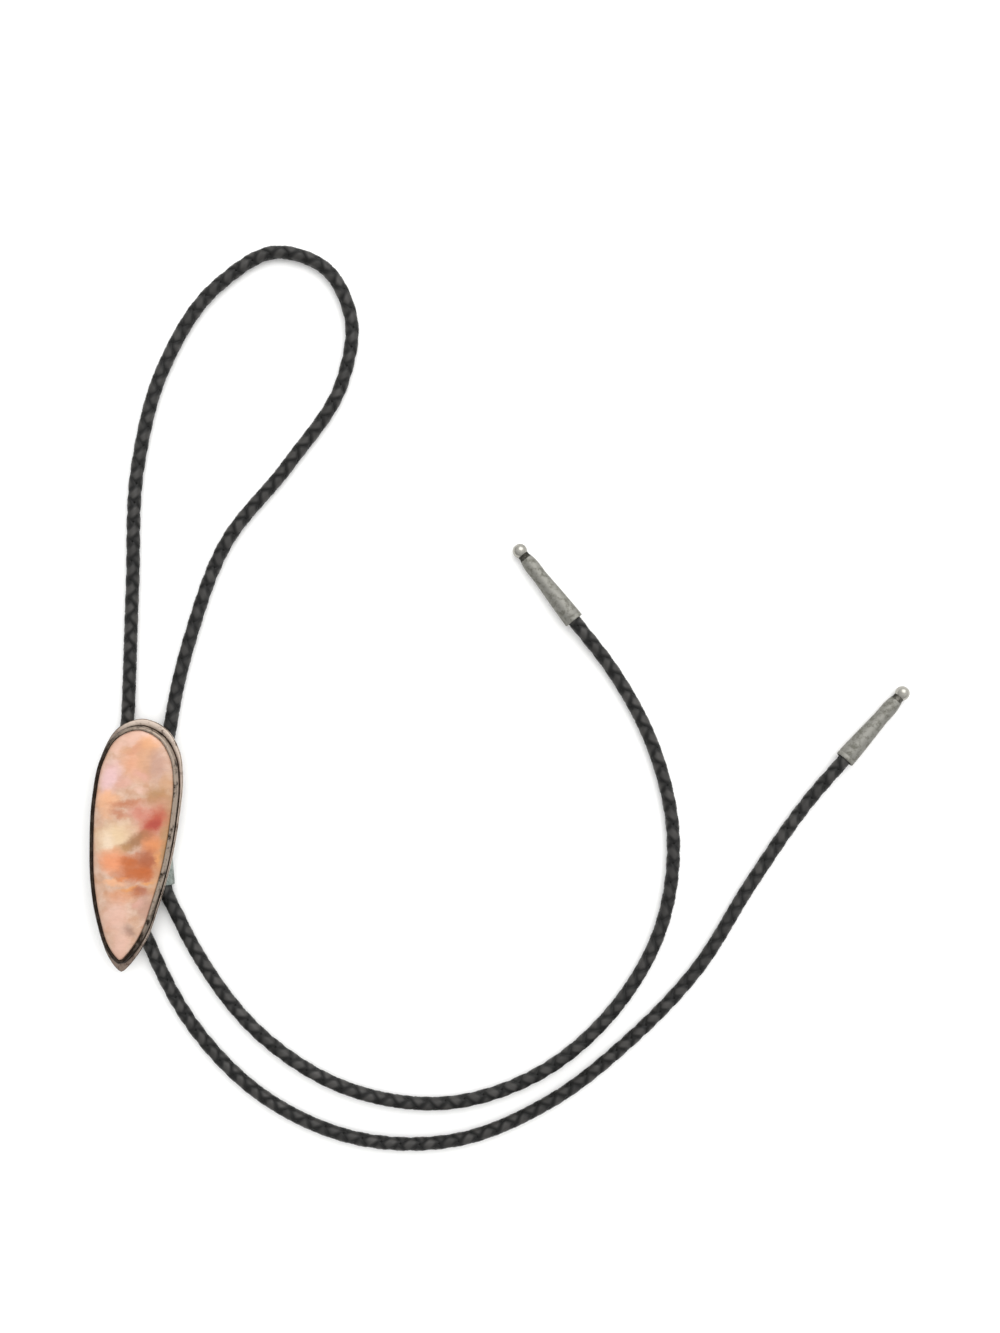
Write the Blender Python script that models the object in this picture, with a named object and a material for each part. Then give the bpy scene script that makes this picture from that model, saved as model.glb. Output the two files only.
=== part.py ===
"""Bolo tie lying on a flat surface, in metres, +Z up.

A long pointed shell cabochon sits in a bezel setting. A clip behind the setting
holds two runs of one braided cord, whose ends are seated in tapered metal tips.

+X is to the right of the slide, +Y points to its round end and +Z out of the
stone. The origin is the middle of the slide's underside, on the surface.
"""

import math
from typing import NamedTuple

import bmesh
import bpy
import numpy as np
from mathutils import Matrix, Vector

# Stone
STONE_WIDTH = 0.0234
STONE_LENGTH = 0.0669
STONE_GIRDLE_HEIGHT = 0.0020
STONE_DOME_HEIGHT = 0.0027
# Where its middle is on the backplate, which is cut by hand
STONE_PLACE = (-0.0004, 0.0003)

# Setting
BACKPLATE_THICKNESS = 0.0008
BACKPLATE_SIDE_MARGIN = 0.0006
BACKPLATE_END_MARGIN = 0.0023
BEZEL_WALL = 0.0008
BEZEL_RISE_PAST_GIRDLE = 0.0007
BEZEL_LEAN = 0.00035
PIECE_GAP = 0.0003

# Cord
CORD_DIAMETER = 0.004
CORD_CLEARANCE = 0.0003
CORD_LIFT_OFF_SURFACE = 0.00005

# Clip, turned a little to follow the cords
CLIP_LENGTH = 0.022
CLIP_WALL = 0.0005
CHANNEL_SPACING = 0.0105
CLIP_X = 0.0014
CLIP_Y = -0.0014
CLIP_TURN = math.radians(5.0)

# Tips
TIP_LENGTH = 0.0281
TIP_MOUTH_WALL = 0.0006
TIP_RIM_LENGTH = 0.0011
TIP_SOCKET_DEPTH = 0.007
TIP_LIP_ROUNDING = 0.0002
TIP_NECK_RADIUS = 0.0016
TIP_NECK_LENGTH = 0.0008
TIP_BALL_RADIUS = 0.00215
TIP_INNER_MOUTH = (0.1276, 0.0656)
TIP_INNER_HEADING = math.radians(127.9)
TIP_OUTER_MOUTH = (0.2069, 0.0248)
TIP_OUTER_HEADING = math.radians(48.5)

# How finely round shapes are divided
OUTLINE_POINTS = 64
DOME_RINGS = 6
CHANNEL_SIDES = 24
TIP_SIDES = 20
BALL_STEPS = 8
CURVE_STEPS = 24
MERGE_DISTANCE = 0.000001
SHARP_EDGE = math.radians(35.0)


class OutlinePoint(NamedTuple):
    """A point of the stone's outline, as shares of its width and length from its middle."""

    across: float
    along: float


# Clockwise seen from above, from the pointed end up the left side
STONE_OUTLINE = (
    OutlinePoint(-0.166, -0.500),
    OutlinePoint(-0.285, -0.454),
    OutlinePoint(-0.411, -0.328),
    OutlinePoint(-0.487, -0.168),
    OutlinePoint(-0.500, 0.007),
    OutlinePoint(-0.467, 0.210),
    OutlinePoint(-0.360, 0.376),
    OutlinePoint(-0.199, 0.465),
    OutlinePoint(0.065, 0.500),
    OutlinePoint(0.306, 0.464),
    OutlinePoint(0.469, 0.368),
    OutlinePoint(0.500, 0.268),
    OutlinePoint(0.463, 0.115),
    OutlinePoint(0.370, -0.074),
    OutlinePoint(0.237, -0.243),
    OutlinePoint(0.093, -0.383),
    OutlinePoint(-0.058, -0.464),
)


class TipStation(NamedTuple):
    """A section of a tip's taper: shares of its length from the mouth and of its mouth radius."""

    along: float
    radius: float


TIP_TAPER = (
    TipStation(0.29, 0.90),
    TipStation(0.56, 0.76),
    TipStation(0.81, 0.65),
)

# The cord's own route on the surface, in order, as x and y
INNER_TAIL_ROUTE = (
    (0.1392, 0.0506),
    (0.1511, 0.0279),
    (0.1568, 0.0009),
    (0.1529, -0.0253),
    (0.1397, -0.0483),
    (0.1177, -0.0673),
    (0.0903, -0.0762),
    (0.0610, -0.0720),
    (0.0361, -0.0567),
    (0.0178, -0.0338),
    (0.0118, -0.0226),
)
NECK_LOOP_ROUTE = (
    (0.0088, 0.0339),
    (0.0111, 0.0465),
    (0.0150, 0.0613),
    (0.0254, 0.0886),
    (0.0436, 0.1114),
    (0.0595, 0.1359),
    (0.0619, 0.1551),
    (0.0545, 0.1691),
    (0.0403, 0.1739),
    (0.0229, 0.1641),
    (0.0068, 0.1396),
    (-0.0006, 0.1112),
    (-0.0022, 0.0759),
    (-0.0034, 0.0406),
)
OUTER_TAIL_ROUTE = (
    (0.0033, -0.0307),
    (0.0163, -0.0544),
    (0.0372, -0.0749),
    (0.0643, -0.0867),
    (0.0933, -0.0870),
    (0.1205, -0.0758),
    (0.1436, -0.0580),
    (0.1637, -0.0369),
    (0.1796, -0.0117),
    (0.1964, 0.0124),
)

# The cord is drawn with this many points between its clip and each end, and round the neck
TAIL_POINTS = 24
NECK_POINTS = 29
CORD_BEVEL_RESOLUTION = 2
# Length of straight cord that takes as many points as one radian of bend
BEND_REACH = 0.02

# Radii and heights that follow, the heights from the surface up
CORD_RADIUS = CORD_DIAMETER / 2
CORD_REST_HEIGHT = CORD_RADIUS + CORD_LIFT_OFF_SURFACE
BORE_RADIUS = CORD_RADIUS + CORD_CLEARANCE
TIP_MOUTH_RADIUS = BORE_RADIUS + TIP_MOUTH_WALL
CHANNEL_OUTER_RADIUS = BORE_RADIUS + CLIP_WALL
CHANNEL_HEIGHT = CHANNEL_OUTER_RADIUS
CLIP_TOP = 2 * CHANNEL_OUTER_RADIUS
BACKPLATE_BOTTOM = CLIP_TOP + PIECE_GAP
BACKPLATE_TOP = BACKPLATE_BOTTOM + BACKPLATE_THICKNESS
STONE_BOTTOM = BACKPLATE_TOP + PIECE_GAP
GIRDLE_TOP = STONE_BOTTOM + STONE_GIRDLE_HEIGHT
BEZEL_TOP = GIRDLE_TOP + BEZEL_RISE_PAST_GIRDLE


class Finish(NamedTuple):
    """Plain colour, roughness and metallic value of a piece."""

    color: tuple
    roughness: float
    metallic: float


SHELL = Finish((0.80, 0.50, 0.36, 1.0), 0.30, 0.0)
SILVER = Finish((0.52, 0.48, 0.44, 1.0), 0.35, 1.0)
NICKEL = Finish((0.50, 0.51, 0.48, 1.0), 0.40, 1.0)
BLACK_LEATHER = Finish((0.012, 0.012, 0.010, 1.0), 0.45, 0.0)


def clear_scene():
    """Removes everything that is in the scene."""
    for item in list(bpy.data.objects):
        bpy.data.objects.remove(item)


def add_material(piece, name, finish):
    """Gives a piece a material of its own."""
    material = bpy.data.materials.new(name)
    material.use_nodes = True
    shader = material.node_tree.nodes["Principled BSDF"]
    shader.inputs["Base Color"].default_value = finish.color
    shader.inputs["Roughness"].default_value = finish.roughness
    shader.inputs["Metallic"].default_value = finish.metallic
    piece.data.materials.append(material)


def add_piece(name, data, material_name, finish):
    """Adds an object with its material to the scene."""
    piece = bpy.data.objects.new(name, data)
    bpy.context.scene.collection.objects.link(piece)
    add_material(piece, material_name, finish)
    return piece


def finish_mesh(name, bm):
    """Makes a mesh of a closed bmesh, its faces pointing out, shaded smooth."""
    bmesh.ops.recalc_face_normals(bm, faces=bm.faces)
    mesh = bpy.data.meshes.new(name)
    bm.to_mesh(mesh)
    bm.free()
    mesh.shade_smooth()
    mesh.set_sharp_from_angle(angle=SHARP_EDGE)
    return mesh


def hermite(start, end, start_slope, end_slope, count):
    """Points of a cubic from start up to, but without, end."""
    t = np.linspace(0.0, 1.0, count, endpoint=False)[:, None]
    return (
        (2 * t**3 - 3 * t**2 + 1) * start
        + (t**3 - 2 * t**2 + t) * start_slope
        + (3 * t**2 - 2 * t**3) * end
        + (t**3 - t**2) * end_slope
    )


def outline_slopes(points):
    """Slope per segment share at each point of a closed outline, weighted by the segments' lengths."""
    before = points - np.roll(points, 1, axis=0)
    after = np.roll(points, -1, axis=0) - points
    gap_before = np.linalg.norm(before, axis=1)[:, None]
    gap_after = np.linalg.norm(after, axis=1)[:, None]
    direction = before / gap_before * gap_after + after / gap_after * gap_before
    return direction / (gap_before + gap_after)


def stone_outline():
    """The stone's outline round its own middle: an even row of points on a smooth closed curve."""
    points = np.array([(p.across * STONE_WIDTH, p.along * STONE_LENGTH) for p in STONE_OUTLINE])
    slopes = outline_slopes(points)
    pieces = []
    for i, start in enumerate(points):
        j = (i + 1) % len(points)
        gap = np.linalg.norm(points[j] - start)
        pieces.append(hermite(start, points[j], slopes[i] * gap, slopes[j] * gap, CURVE_STEPS))
    curve = np.concatenate(pieces)
    closed = np.concatenate([curve, curve[:1]])
    travelled = np.concatenate([[0.0], np.cumsum(np.linalg.norm(np.diff(closed, axis=0), axis=1))])
    stops = np.linspace(0.0, travelled[-1], OUTLINE_POINTS, endpoint=False)
    even = np.stack([np.interp(stops, travelled, closed[:, axis]) for axis in (0, 1)], axis=1)
    low, high = even.min(axis=0), even.max(axis=0)
    return (even - (low + high) / 2) / (high - low) * (STONE_WIDTH, STONE_LENGTH)


def grown(outline, distance):
    """The outline moved outwards by a distance, or inwards where it is negative."""
    along = np.roll(outline, -1, axis=0) - np.roll(outline, 1, axis=0)
    along /= np.linalg.norm(along, axis=1)[:, None]
    outwards = np.stack([-along[:, 1], along[:, 0]], axis=1)
    return outline + outwards * distance


def add_ring(bm, outline, height):
    """Adds a ring of vertices at one height."""
    return [bm.verts.new((x, y, height)) for x, y in outline]


def bridge(bm, lower, upper):
    """Joins two rings of vertices with a band of faces."""
    for i in range(len(lower)):
        j = (i + 1) % len(lower)
        bm.faces.new((lower[i], lower[j], upper[j], upper[i]))


def loft(bm, rings):
    """Joins each ring to the next."""
    for lower, upper in zip(rings, rings[1:]):
        bridge(bm, lower, upper)


def backplate_outline():
    """The backplate's outline: the stone's, widened and lengthened past the bezel wall."""
    past_stone = PIECE_GAP + BEZEL_WALL
    width = STONE_WIDTH + 2 * (past_stone + BACKPLATE_SIDE_MARGIN)
    length = STONE_LENGTH + 2 * (past_stone + BACKPLATE_END_MARGIN)
    return stone_outline() * (width / STONE_WIDTH, length / STONE_LENGTH)


def make_setting():
    """The backplate with the bezel wall standing inside its edge and leaning over the stone."""
    edge = backplate_outline()
    inside = grown(stone_outline() + STONE_PLACE, PIECE_GAP)
    outside = grown(inside, BEZEL_WALL)
    bm = bmesh.new()
    rings = [
        add_ring(bm, edge, BACKPLATE_BOTTOM),
        add_ring(bm, edge, BACKPLATE_TOP),
        add_ring(bm, outside, BACKPLATE_TOP),
        add_ring(bm, outside, GIRDLE_TOP),
        add_ring(bm, grown(outside, -BEZEL_LEAN), BEZEL_TOP),
        add_ring(bm, grown(inside, -BEZEL_LEAN), BEZEL_TOP),
        add_ring(bm, inside, GIRDLE_TOP),
        add_ring(bm, inside, BACKPLATE_TOP),
    ]
    loft(bm, rings)
    bm.faces.new(rings[0])
    bm.faces.new(rings[-1])
    add_piece("setting", finish_mesh("setting", bm), "oxidised_silver", SILVER)


def make_cabochon():
    """The stone: a flat base, an upright girdle and a low elliptical dome."""
    girdle = stone_outline()
    bm = bmesh.new()
    base = add_ring(bm, girdle + STONE_PLACE, STONE_BOTTOM)
    rings = [base, add_ring(bm, girdle + STONE_PLACE, GIRDLE_TOP)]
    for step in range(1, DOME_RINGS):
        angle = math.pi / 2 * step / DOME_RINGS
        height = GIRDLE_TOP + STONE_DOME_HEIGHT * math.sin(angle)
        rings.append(add_ring(bm, girdle * math.cos(angle) + STONE_PLACE, height))
    loft(bm, rings)
    bm.faces.new(base)
    crown = bm.verts.new((*STONE_PLACE, GIRDLE_TOP + STONE_DOME_HEIGHT))
    top = rings[-1]
    for i, corner in enumerate(top):
        bm.faces.new((corner, top[(i + 1) % len(top)], crown))
    add_piece("cabochon", finish_mesh("cabochon", bm), "polished_shell", SHELL)


def clip_matrix():
    """Where the clip is: its own Y axis runs along the channels, and its underside is on the surface."""
    return Matrix.Translation((CLIP_X, CLIP_Y, 0.0)) @ Matrix.Rotation(CLIP_TURN, 4, "Z")


def arc(center_x, center_z, radius, start, end, steps):
    """Points of an arc in the clip's cross-section, both ends included."""
    angles = np.linspace(start, end, steps + 1)
    return [(center_x + radius * math.cos(a), center_z + radius * math.sin(a)) for a in angles]


def clip_section():
    """The loops of the clip's cross-section: outside, two channels, and the space between them."""
    half = CHANNEL_SPACING / 2
    quarter = math.pi / 2
    steps = CHANNEL_SIDES // 2
    outer = arc(half, CHANNEL_HEIGHT, CHANNEL_OUTER_RADIUS, -quarter, quarter, steps)
    outer += arc(-half, CHANNEL_HEIGHT, CHANNEL_OUTER_RADIUS, quarter, 3 * quarter, steps)
    turn = 2 * math.pi
    right = arc(half, CHANNEL_HEIGHT, BORE_RADIUS, 0.0, turn, CHANNEL_SIDES)[:-1]
    left = arc(-half, CHANNEL_HEIGHT, BORE_RADIUS, 0.0, turn, CHANNEL_SIDES)[:-1]
    reach = math.asin(1.0 - CLIP_WALL / CHANNEL_OUTER_RADIUS)
    middle = arc(-half, CHANNEL_HEIGHT, CHANNEL_OUTER_RADIUS, -reach, reach, steps // 2)
    middle += arc(
        half, CHANNEL_HEIGHT, CHANNEL_OUTER_RADIUS, math.pi - reach, math.pi + reach, steps // 2
    )
    return outer, right, left, middle


def make_cord_clip():
    """Two channels for the cord between a top plate, under the backplate, and a flat underside."""
    bm = bmesh.new()
    edges = []
    for points in clip_section():
        loop = [bm.verts.new((x, -CLIP_LENGTH / 2, z)) for x, z in points]
        for i, vert in enumerate(loop):
            edges.append(bm.edges.new((vert, loop[(i + 1) % len(loop)])))
    filled = bmesh.ops.triangle_fill(bm, edges=edges, use_beauty=True, use_dissolve=False)
    faces = [item for item in filled["geom"] if isinstance(item, bmesh.types.BMFace)]
    extruded = bmesh.ops.extrude_face_region(bm, geom=faces, use_keep_orig=True)
    moved = [item for item in extruded["geom"] if isinstance(item, bmesh.types.BMVert)]
    bmesh.ops.translate(bm, vec=(0.0, CLIP_LENGTH, 0.0), verts=moved)
    clip = add_piece("cord_clip", finish_mesh("cord_clip", bm), "nickel_plate", NICKEL)
    clip.matrix_world = clip_matrix()


def tip_tilt():
    """How far a tip lying on its mouth's rim and its ball points down."""
    rim_to_ball = TIP_LENGTH - TIP_BALL_RADIUS - TIP_RIM_LENGTH
    reach = math.hypot(rim_to_ball, TIP_MOUTH_RADIUS)
    return math.atan2(TIP_MOUTH_RADIUS, rim_to_ball) - math.asin(TIP_BALL_RADIUS / reach)


def tip_matrix(mouth, heading):
    """Where a tip is: its own X axis runs from the middle of its mouth to its ball."""
    tilt = tip_tilt()
    mouth_height = TIP_MOUTH_RADIUS * math.cos(tilt) + TIP_RIM_LENGTH * math.sin(tilt)
    turned = Matrix.Rotation(heading, 4, "Z") @ Matrix.Rotation(tilt, 4, "Y")
    return Matrix.Translation((mouth[0], mouth[1], mouth_height)) @ turned


def tip_profile():
    """Half the lengthwise section of a tip, from the socket's bottom round to the ball's end."""
    ball_center = TIP_LENGTH - TIP_BALL_RADIUS
    neck_start_angle = math.asin(TIP_NECK_RADIUS / TIP_BALL_RADIUS)
    neck_end = ball_center - TIP_BALL_RADIUS * math.cos(neck_start_angle)
    points = [
        (TIP_SOCKET_DEPTH, 0.0),
        (TIP_SOCKET_DEPTH, BORE_RADIUS),
        (0.0, BORE_RADIUS),
        (0.0, TIP_MOUTH_RADIUS - TIP_LIP_ROUNDING),
        (TIP_LIP_ROUNDING, TIP_MOUTH_RADIUS),
        (TIP_RIM_LENGTH, TIP_MOUTH_RADIUS),
    ]
    points += [(s.along * TIP_LENGTH, s.radius * TIP_MOUTH_RADIUS) for s in TIP_TAPER]
    points.append((neck_end - TIP_NECK_LENGTH, TIP_NECK_RADIUS))
    for angle in np.linspace(math.pi - neck_start_angle, 0.0, BALL_STEPS + 1)[:-1]:
        along = ball_center + TIP_BALL_RADIUS * math.cos(angle)
        points.append((along, TIP_BALL_RADIUS * math.sin(angle)))
    points.append((TIP_LENGTH, 0.0))
    return points


def make_tip(name, mouth, heading):
    """A tapered tip turned about its own X axis, with a socket for the cord and a ball end."""
    bm = bmesh.new()
    profile = [bm.verts.new((along, 0.0, -radius)) for along, radius in tip_profile()]
    edges = [bm.edges.new(pair) for pair in zip(profile, profile[1:])]
    bmesh.ops.spin(
        bm,
        geom=profile + edges,
        cent=(0.0, 0.0, 0.0),
        axis=(1.0, 0.0, 0.0),
        angle=2 * math.pi,
        steps=TIP_SIDES,
        use_merge=True,
    )
    bmesh.ops.remove_doubles(bm, verts=bm.verts, dist=MERGE_DISTANCE)
    tip = add_piece(name, finish_mesh(name, bm), "tip_metal", SILVER)
    tip.matrix_world = tip_matrix(mouth, heading)


def channel_run(side):
    """The two ends of a channel's axis, the end nearer the stone's point first. Side is -1 or 1."""
    x = side * CHANNEL_SPACING / 2
    ends = ((x, -CLIP_LENGTH / 2, CHANNEL_HEIGHT), (x, CLIP_LENGTH / 2, CHANNEL_HEIGHT))
    return [np.array(clip_matrix() @ Vector(end)) for end in ends]


def tip_run(mouth, heading):
    """Where the cord ends in a tip, and the middle of the tip's mouth."""
    place = tip_matrix(mouth, heading)
    seat = place @ Vector((TIP_SOCKET_DEPTH - PIECE_GAP, 0.0, 0.0))
    return [np.array(seat), np.array(place @ Vector((0.0, 0.0, 0.0)))]


def smooth_run(start, start_way, route, end, end_way):
    """A smooth line from start along the route to end. The ways are its directions at the two ends."""
    points = [start] + [np.array((x, y, CORD_REST_HEIGHT)) for x, y in route] + [end]
    slopes = [start_way]
    for before, here, after in zip(points, points[1:], points[2:]):
        gap_before, gap_after = np.linalg.norm(here - before), np.linalg.norm(after - here)
        way = (here - before) / gap_before * gap_after + (after - here) / gap_after * gap_before
        way[2] = 0.0
        slopes.append(way / (gap_before + gap_after))
    slopes.append(end_way)
    pieces = []
    for i, (here, after) in enumerate(zip(points, points[1:])):
        gap = np.linalg.norm(after - here)
        pieces.append(hermite(here, after, slopes[i] * gap, slopes[i + 1] * gap, CURVE_STEPS))
    return np.concatenate(pieces + [end[None, :]])


def thinned(curve, count):
    """As many points as count read from a fine line, closer together where it bends."""
    steps = np.diff(curve, axis=0)
    lengths = np.linalg.norm(steps, axis=1)
    ways = steps / lengths[:, None]
    turns = np.arccos(np.clip((ways[1:] * ways[:-1]).sum(axis=1), -1.0, 1.0))
    effort = lengths + BEND_REACH * np.concatenate([[0.0], turns])
    travelled = np.concatenate([[0.0], np.cumsum(effort)])
    stops = np.linspace(0.0, travelled[-1], count)
    return np.stack([np.interp(stops, travelled, curve[:, axis]) for axis in range(3)], axis=1)


def unit(vector):
    """The direction of a vector."""
    return vector / np.linalg.norm(vector)


def cord_line():
    """The cord's points from the inner tip, through the clip, round the neck and to the outer tip."""
    inner_seat, inner_mouth = tip_run(TIP_INNER_MOUTH, TIP_INNER_HEADING)
    outer_seat, outer_mouth = tip_run(TIP_OUTER_MOUTH, TIP_OUTER_HEADING)
    right_low, right_high = channel_run(1)
    left_low, left_high = channel_run(-1)
    up = unit(right_high - right_low)
    out_of_tip, into_tip = unit(inner_mouth - inner_seat), unit(outer_seat - outer_mouth)
    inner = smooth_run(inner_mouth, out_of_tip, INNER_TAIL_ROUTE, right_low, up)
    neck = smooth_run(right_high, up, NECK_LOOP_ROUTE, left_high, -up)
    outer = smooth_run(left_low, -up, OUTER_TAIL_ROUTE, outer_mouth, into_tip)
    return np.concatenate(
        [
            inner_seat[None, :],
            thinned(inner, TAIL_POINTS),
            thinned(neck, NECK_POINTS),
            thinned(outer, TAIL_POINTS),
            outer_seat[None, :],
        ]
    )


def make_braided_cord():
    """The cord: one round tube from inside one tip to inside the other."""
    line = cord_line()
    curve = bpy.data.curves.new("braided_cord", "CURVE")
    curve.dimensions = "3D"
    curve.bevel_depth = CORD_RADIUS
    curve.bevel_resolution = CORD_BEVEL_RESOLUTION
    curve.use_fill_caps = True
    spline = curve.splines.new("POLY")
    spline.points.add(len(line) - 1)
    for point, place in zip(spline.points, line):
        point.co = (*place, 1.0)
    add_piece("braided_cord", curve, "black_leather", BLACK_LEATHER)


def main():
    """Builds every piece of the bolo tie."""
    clear_scene()
    make_setting()
    make_cabochon()
    make_cord_clip()
    make_braided_cord()
    make_tip("tip_inner", TIP_INNER_MOUTH, TIP_INNER_HEADING)
    make_tip("tip_outer", TIP_OUTER_MOUTH, TIP_OUTER_HEADING)


main()
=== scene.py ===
"""Looks of a bolo tie: a long shell stone in a silver bezel, which slides on a braided leather cord.

Two runs of the cord pass through a clip behind the setting, and its ends are seated
in tapered metal tips. Every length is in metres. +X is to the right of the slide, +Y
points to its round end and +Z out of the stone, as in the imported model.
"""

import logging
import math
from collections.abc import Callable, Iterator
from contextlib import contextmanager
from dataclasses import dataclass
from enum import Enum
from typing import NamedTuple

import bmesh
import bpy
import numpy as np
from mathutils import Matrix, Vector


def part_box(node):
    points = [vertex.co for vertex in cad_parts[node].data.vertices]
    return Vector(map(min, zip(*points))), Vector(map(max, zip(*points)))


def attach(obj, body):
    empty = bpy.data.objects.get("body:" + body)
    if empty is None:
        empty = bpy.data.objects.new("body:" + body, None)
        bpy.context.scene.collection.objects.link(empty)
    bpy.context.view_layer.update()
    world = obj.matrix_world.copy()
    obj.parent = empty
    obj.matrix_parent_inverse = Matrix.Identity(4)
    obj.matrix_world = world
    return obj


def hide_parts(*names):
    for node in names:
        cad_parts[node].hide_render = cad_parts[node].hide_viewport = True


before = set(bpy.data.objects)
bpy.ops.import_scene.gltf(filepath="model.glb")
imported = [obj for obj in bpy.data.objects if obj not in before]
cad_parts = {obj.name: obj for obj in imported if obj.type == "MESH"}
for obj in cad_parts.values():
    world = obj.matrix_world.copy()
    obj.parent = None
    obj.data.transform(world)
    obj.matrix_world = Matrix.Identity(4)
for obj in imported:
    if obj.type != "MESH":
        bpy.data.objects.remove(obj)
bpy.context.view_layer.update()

MM = 0.001
SHARP_EDGE = math.radians(35.0)
MERGE_DISTANCE = 0.000002
# A face whose normal's Z is past this lies flat
FLAT = 0.99

log = logging.getLogger("bolo_tie")

# The cord's own route on the surface, in order, as x and y
INNER_TAIL_ROUTE = (
    (0.1392, 0.0506),
    (0.1511, 0.0279),
    (0.1568, 0.0009),
    (0.1529, -0.0253),
    (0.1397, -0.0483),
    (0.1177, -0.0673),
    (0.0903, -0.0762),
    (0.0610, -0.0720),
    (0.0361, -0.0567),
    (0.0178, -0.0338),
    (0.0118, -0.0226),
)
NECK_LOOP_ROUTE = (
    (0.0088, 0.0339),
    (0.0111, 0.0465),
    (0.0150, 0.0613),
    (0.0254, 0.0886),
    (0.0436, 0.1114),
    (0.0595, 0.1359),
    (0.0619, 0.1551),
    (0.0545, 0.1691),
    (0.0403, 0.1739),
    (0.0229, 0.1641),
    (0.0068, 0.1396),
    (-0.0006, 0.1112),
    (-0.0022, 0.0759),
    (-0.0034, 0.0406),
)
OUTER_TAIL_ROUTE = (
    (0.0033, -0.0307),
    (0.0163, -0.0544),
    (0.0372, -0.0749),
    (0.0643, -0.0867),
    (0.0933, -0.0870),
    (0.1205, -0.0758),
    (0.1436, -0.0580),
    (0.1637, -0.0369),
    (0.1796, -0.0117),
    (0.1964, 0.0124),
)

# The middle of each tip's mouth, as x and y, and the way that the tip points, anticlockwise from +X
INNER_TIP_MOUTH = (0.1276, 0.0656)
INNER_TIP_HEADING = math.radians(127.9)
OUTER_TIP_MOUTH = (0.2069, 0.0248)
OUTER_TIP_HEADING = math.radians(48.5)


class Pick(Enum):
    """What edit mode selects."""

    EDGES = "EDGE"
    FACES = "FACE"


class Hand(Enum):
    """Which way a lace winds round the cord."""

    RIGHT = 1
    LEFT = -1


# Colours and nodes


def linear(hex_colour: str) -> tuple[float, float, float, float]:
    """Turns a colour from sRGB to linear.

    Args:
        hex_colour: the colour as #RRGGBB.

    Returns:
        Linear red, green and blue, and an alpha of 1.
    """
    shares = [int(hex_colour[i : i + 2], 16) / 255 for i in (1, 3, 5)]
    # The curve of the sRGB standard
    return (*(c / 12.92 if c <= 0.04045 else ((c + 0.055) / 1.055) ** 2.4 for c in shares), 1.0)


def add_node(
    tree: bpy.types.NodeTree, kind: str, sockets: dict | None = None, **settings: object
) -> bpy.types.Node:
    """Adds a node to a tree.

    Args:
        tree: the tree that the node goes into.
        kind: the node's type.
        sockets: for each input, by name or number, a value or the output that is linked to it.
        settings: the node's own properties.

    Returns:
        The new node.
    """
    node = tree.nodes.new(kind)
    for name, value in settings.items():
        setattr(node, name, value)
    for key, value in (sockets or {}).items():
        if isinstance(value, bpy.types.NodeSocket):
            tree.links.new(value, node.inputs[key])
        else:
            node.inputs[key].default_value = value
    return node


def mixed(
    tree: bpy.types.NodeTree,
    share: bpy.types.NodeSocket | float,
    below: bpy.types.NodeSocket | tuple,
    above: bpy.types.NodeSocket | tuple,
    blend: str = "MIX",
) -> bpy.types.NodeSocket:
    """Lays one colour over another.

    Args:
        tree: the tree that they are mixed in.
        share: how much of the upper colour shows.
        below: the lower colour.
        above: the upper colour.
        blend: how the upper colour acts on the lower one.

    Returns:
        The mixed colour.
    """
    node = add_node(
        tree, "ShaderNodeMix", {0: share, 6: below, 7: above}, data_type="RGBA", blend_type=blend
    )
    return node.outputs[2]


def noise(
    tree: bpy.types.NodeTree, place: bpy.types.NodeSocket, size: float, detail: float, **sockets: float
) -> bpy.types.Node:
    """Adds cloudy noise.

    Args:
        tree: the tree that it goes into.
        place: where it is read.
        size: the size of its clouds, in the units of place.
        detail: how many finer layers of clouds it has.
        sockets: its other inputs.

    Returns:
        The node.
    """
    inputs = {"Vector": place, "Scale": 1 / size, "Detail": detail, **sockets}
    return add_node(tree, "ShaderNodeTexNoise", inputs)


def on_vectors(
    tree: bpy.types.NodeTree, operation: str, *inputs: bpy.types.NodeSocket | tuple
) -> bpy.types.Node:
    """Adds a step of arithmetic on vectors.

    Args:
        tree: the tree that it goes into.
        operation: what it does.
        inputs: the vectors that it works on.

    Returns:
        The node.
    """
    return add_node(tree, "ShaderNodeVectorMath", dict(enumerate(inputs)), operation=operation)


def ranged(
    tree: bpy.types.NodeTree,
    value: bpy.types.NodeSocket,
    before: tuple[float, float] = (0.0, 1.0),
    after: tuple[float, float] = (0.0, 1.0),
    soft: bool = False,
) -> bpy.types.NodeSocket:
    """Turns one range of values into another. Values past its ends stay at its ends.

    Args:
        tree: the tree that the node goes into.
        value: the value.
        before: the two ends of the range that it comes from.
        after: the two ends of the range that it goes to.
        soft: whether the change starts and stops gently.

    Returns:
        The new value.
    """
    sockets = {"Value": value, "From Min": before[0], "From Max": before[1]}
    sockets |= {"To Min": after[0], "To Max": after[1]}
    way = "SMOOTHSTEP" if soft else "LINEAR"
    return add_node(tree, "ShaderNodeMapRange", sockets, interpolation_type=way).outputs["Result"]


def add_bump(
    tree: bpy.types.NodeTree,
    shader: bpy.types.Node,
    height: bpy.types.NodeSocket,
    strength: float,
    depth: float,
) -> None:
    """Gives a material fine bumps.

    Args:
        tree: the material's tree.
        shader: its shader.
        height: how high each place stands.
        strength: how strongly the bumps show.
        depth: how deep they are.
    """
    bump = add_node(tree, "ShaderNodeBump", {"Height": height, "Strength": strength, "Distance": depth})
    tree.links.new(bump.outputs[0], shader.inputs["Normal"])


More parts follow.
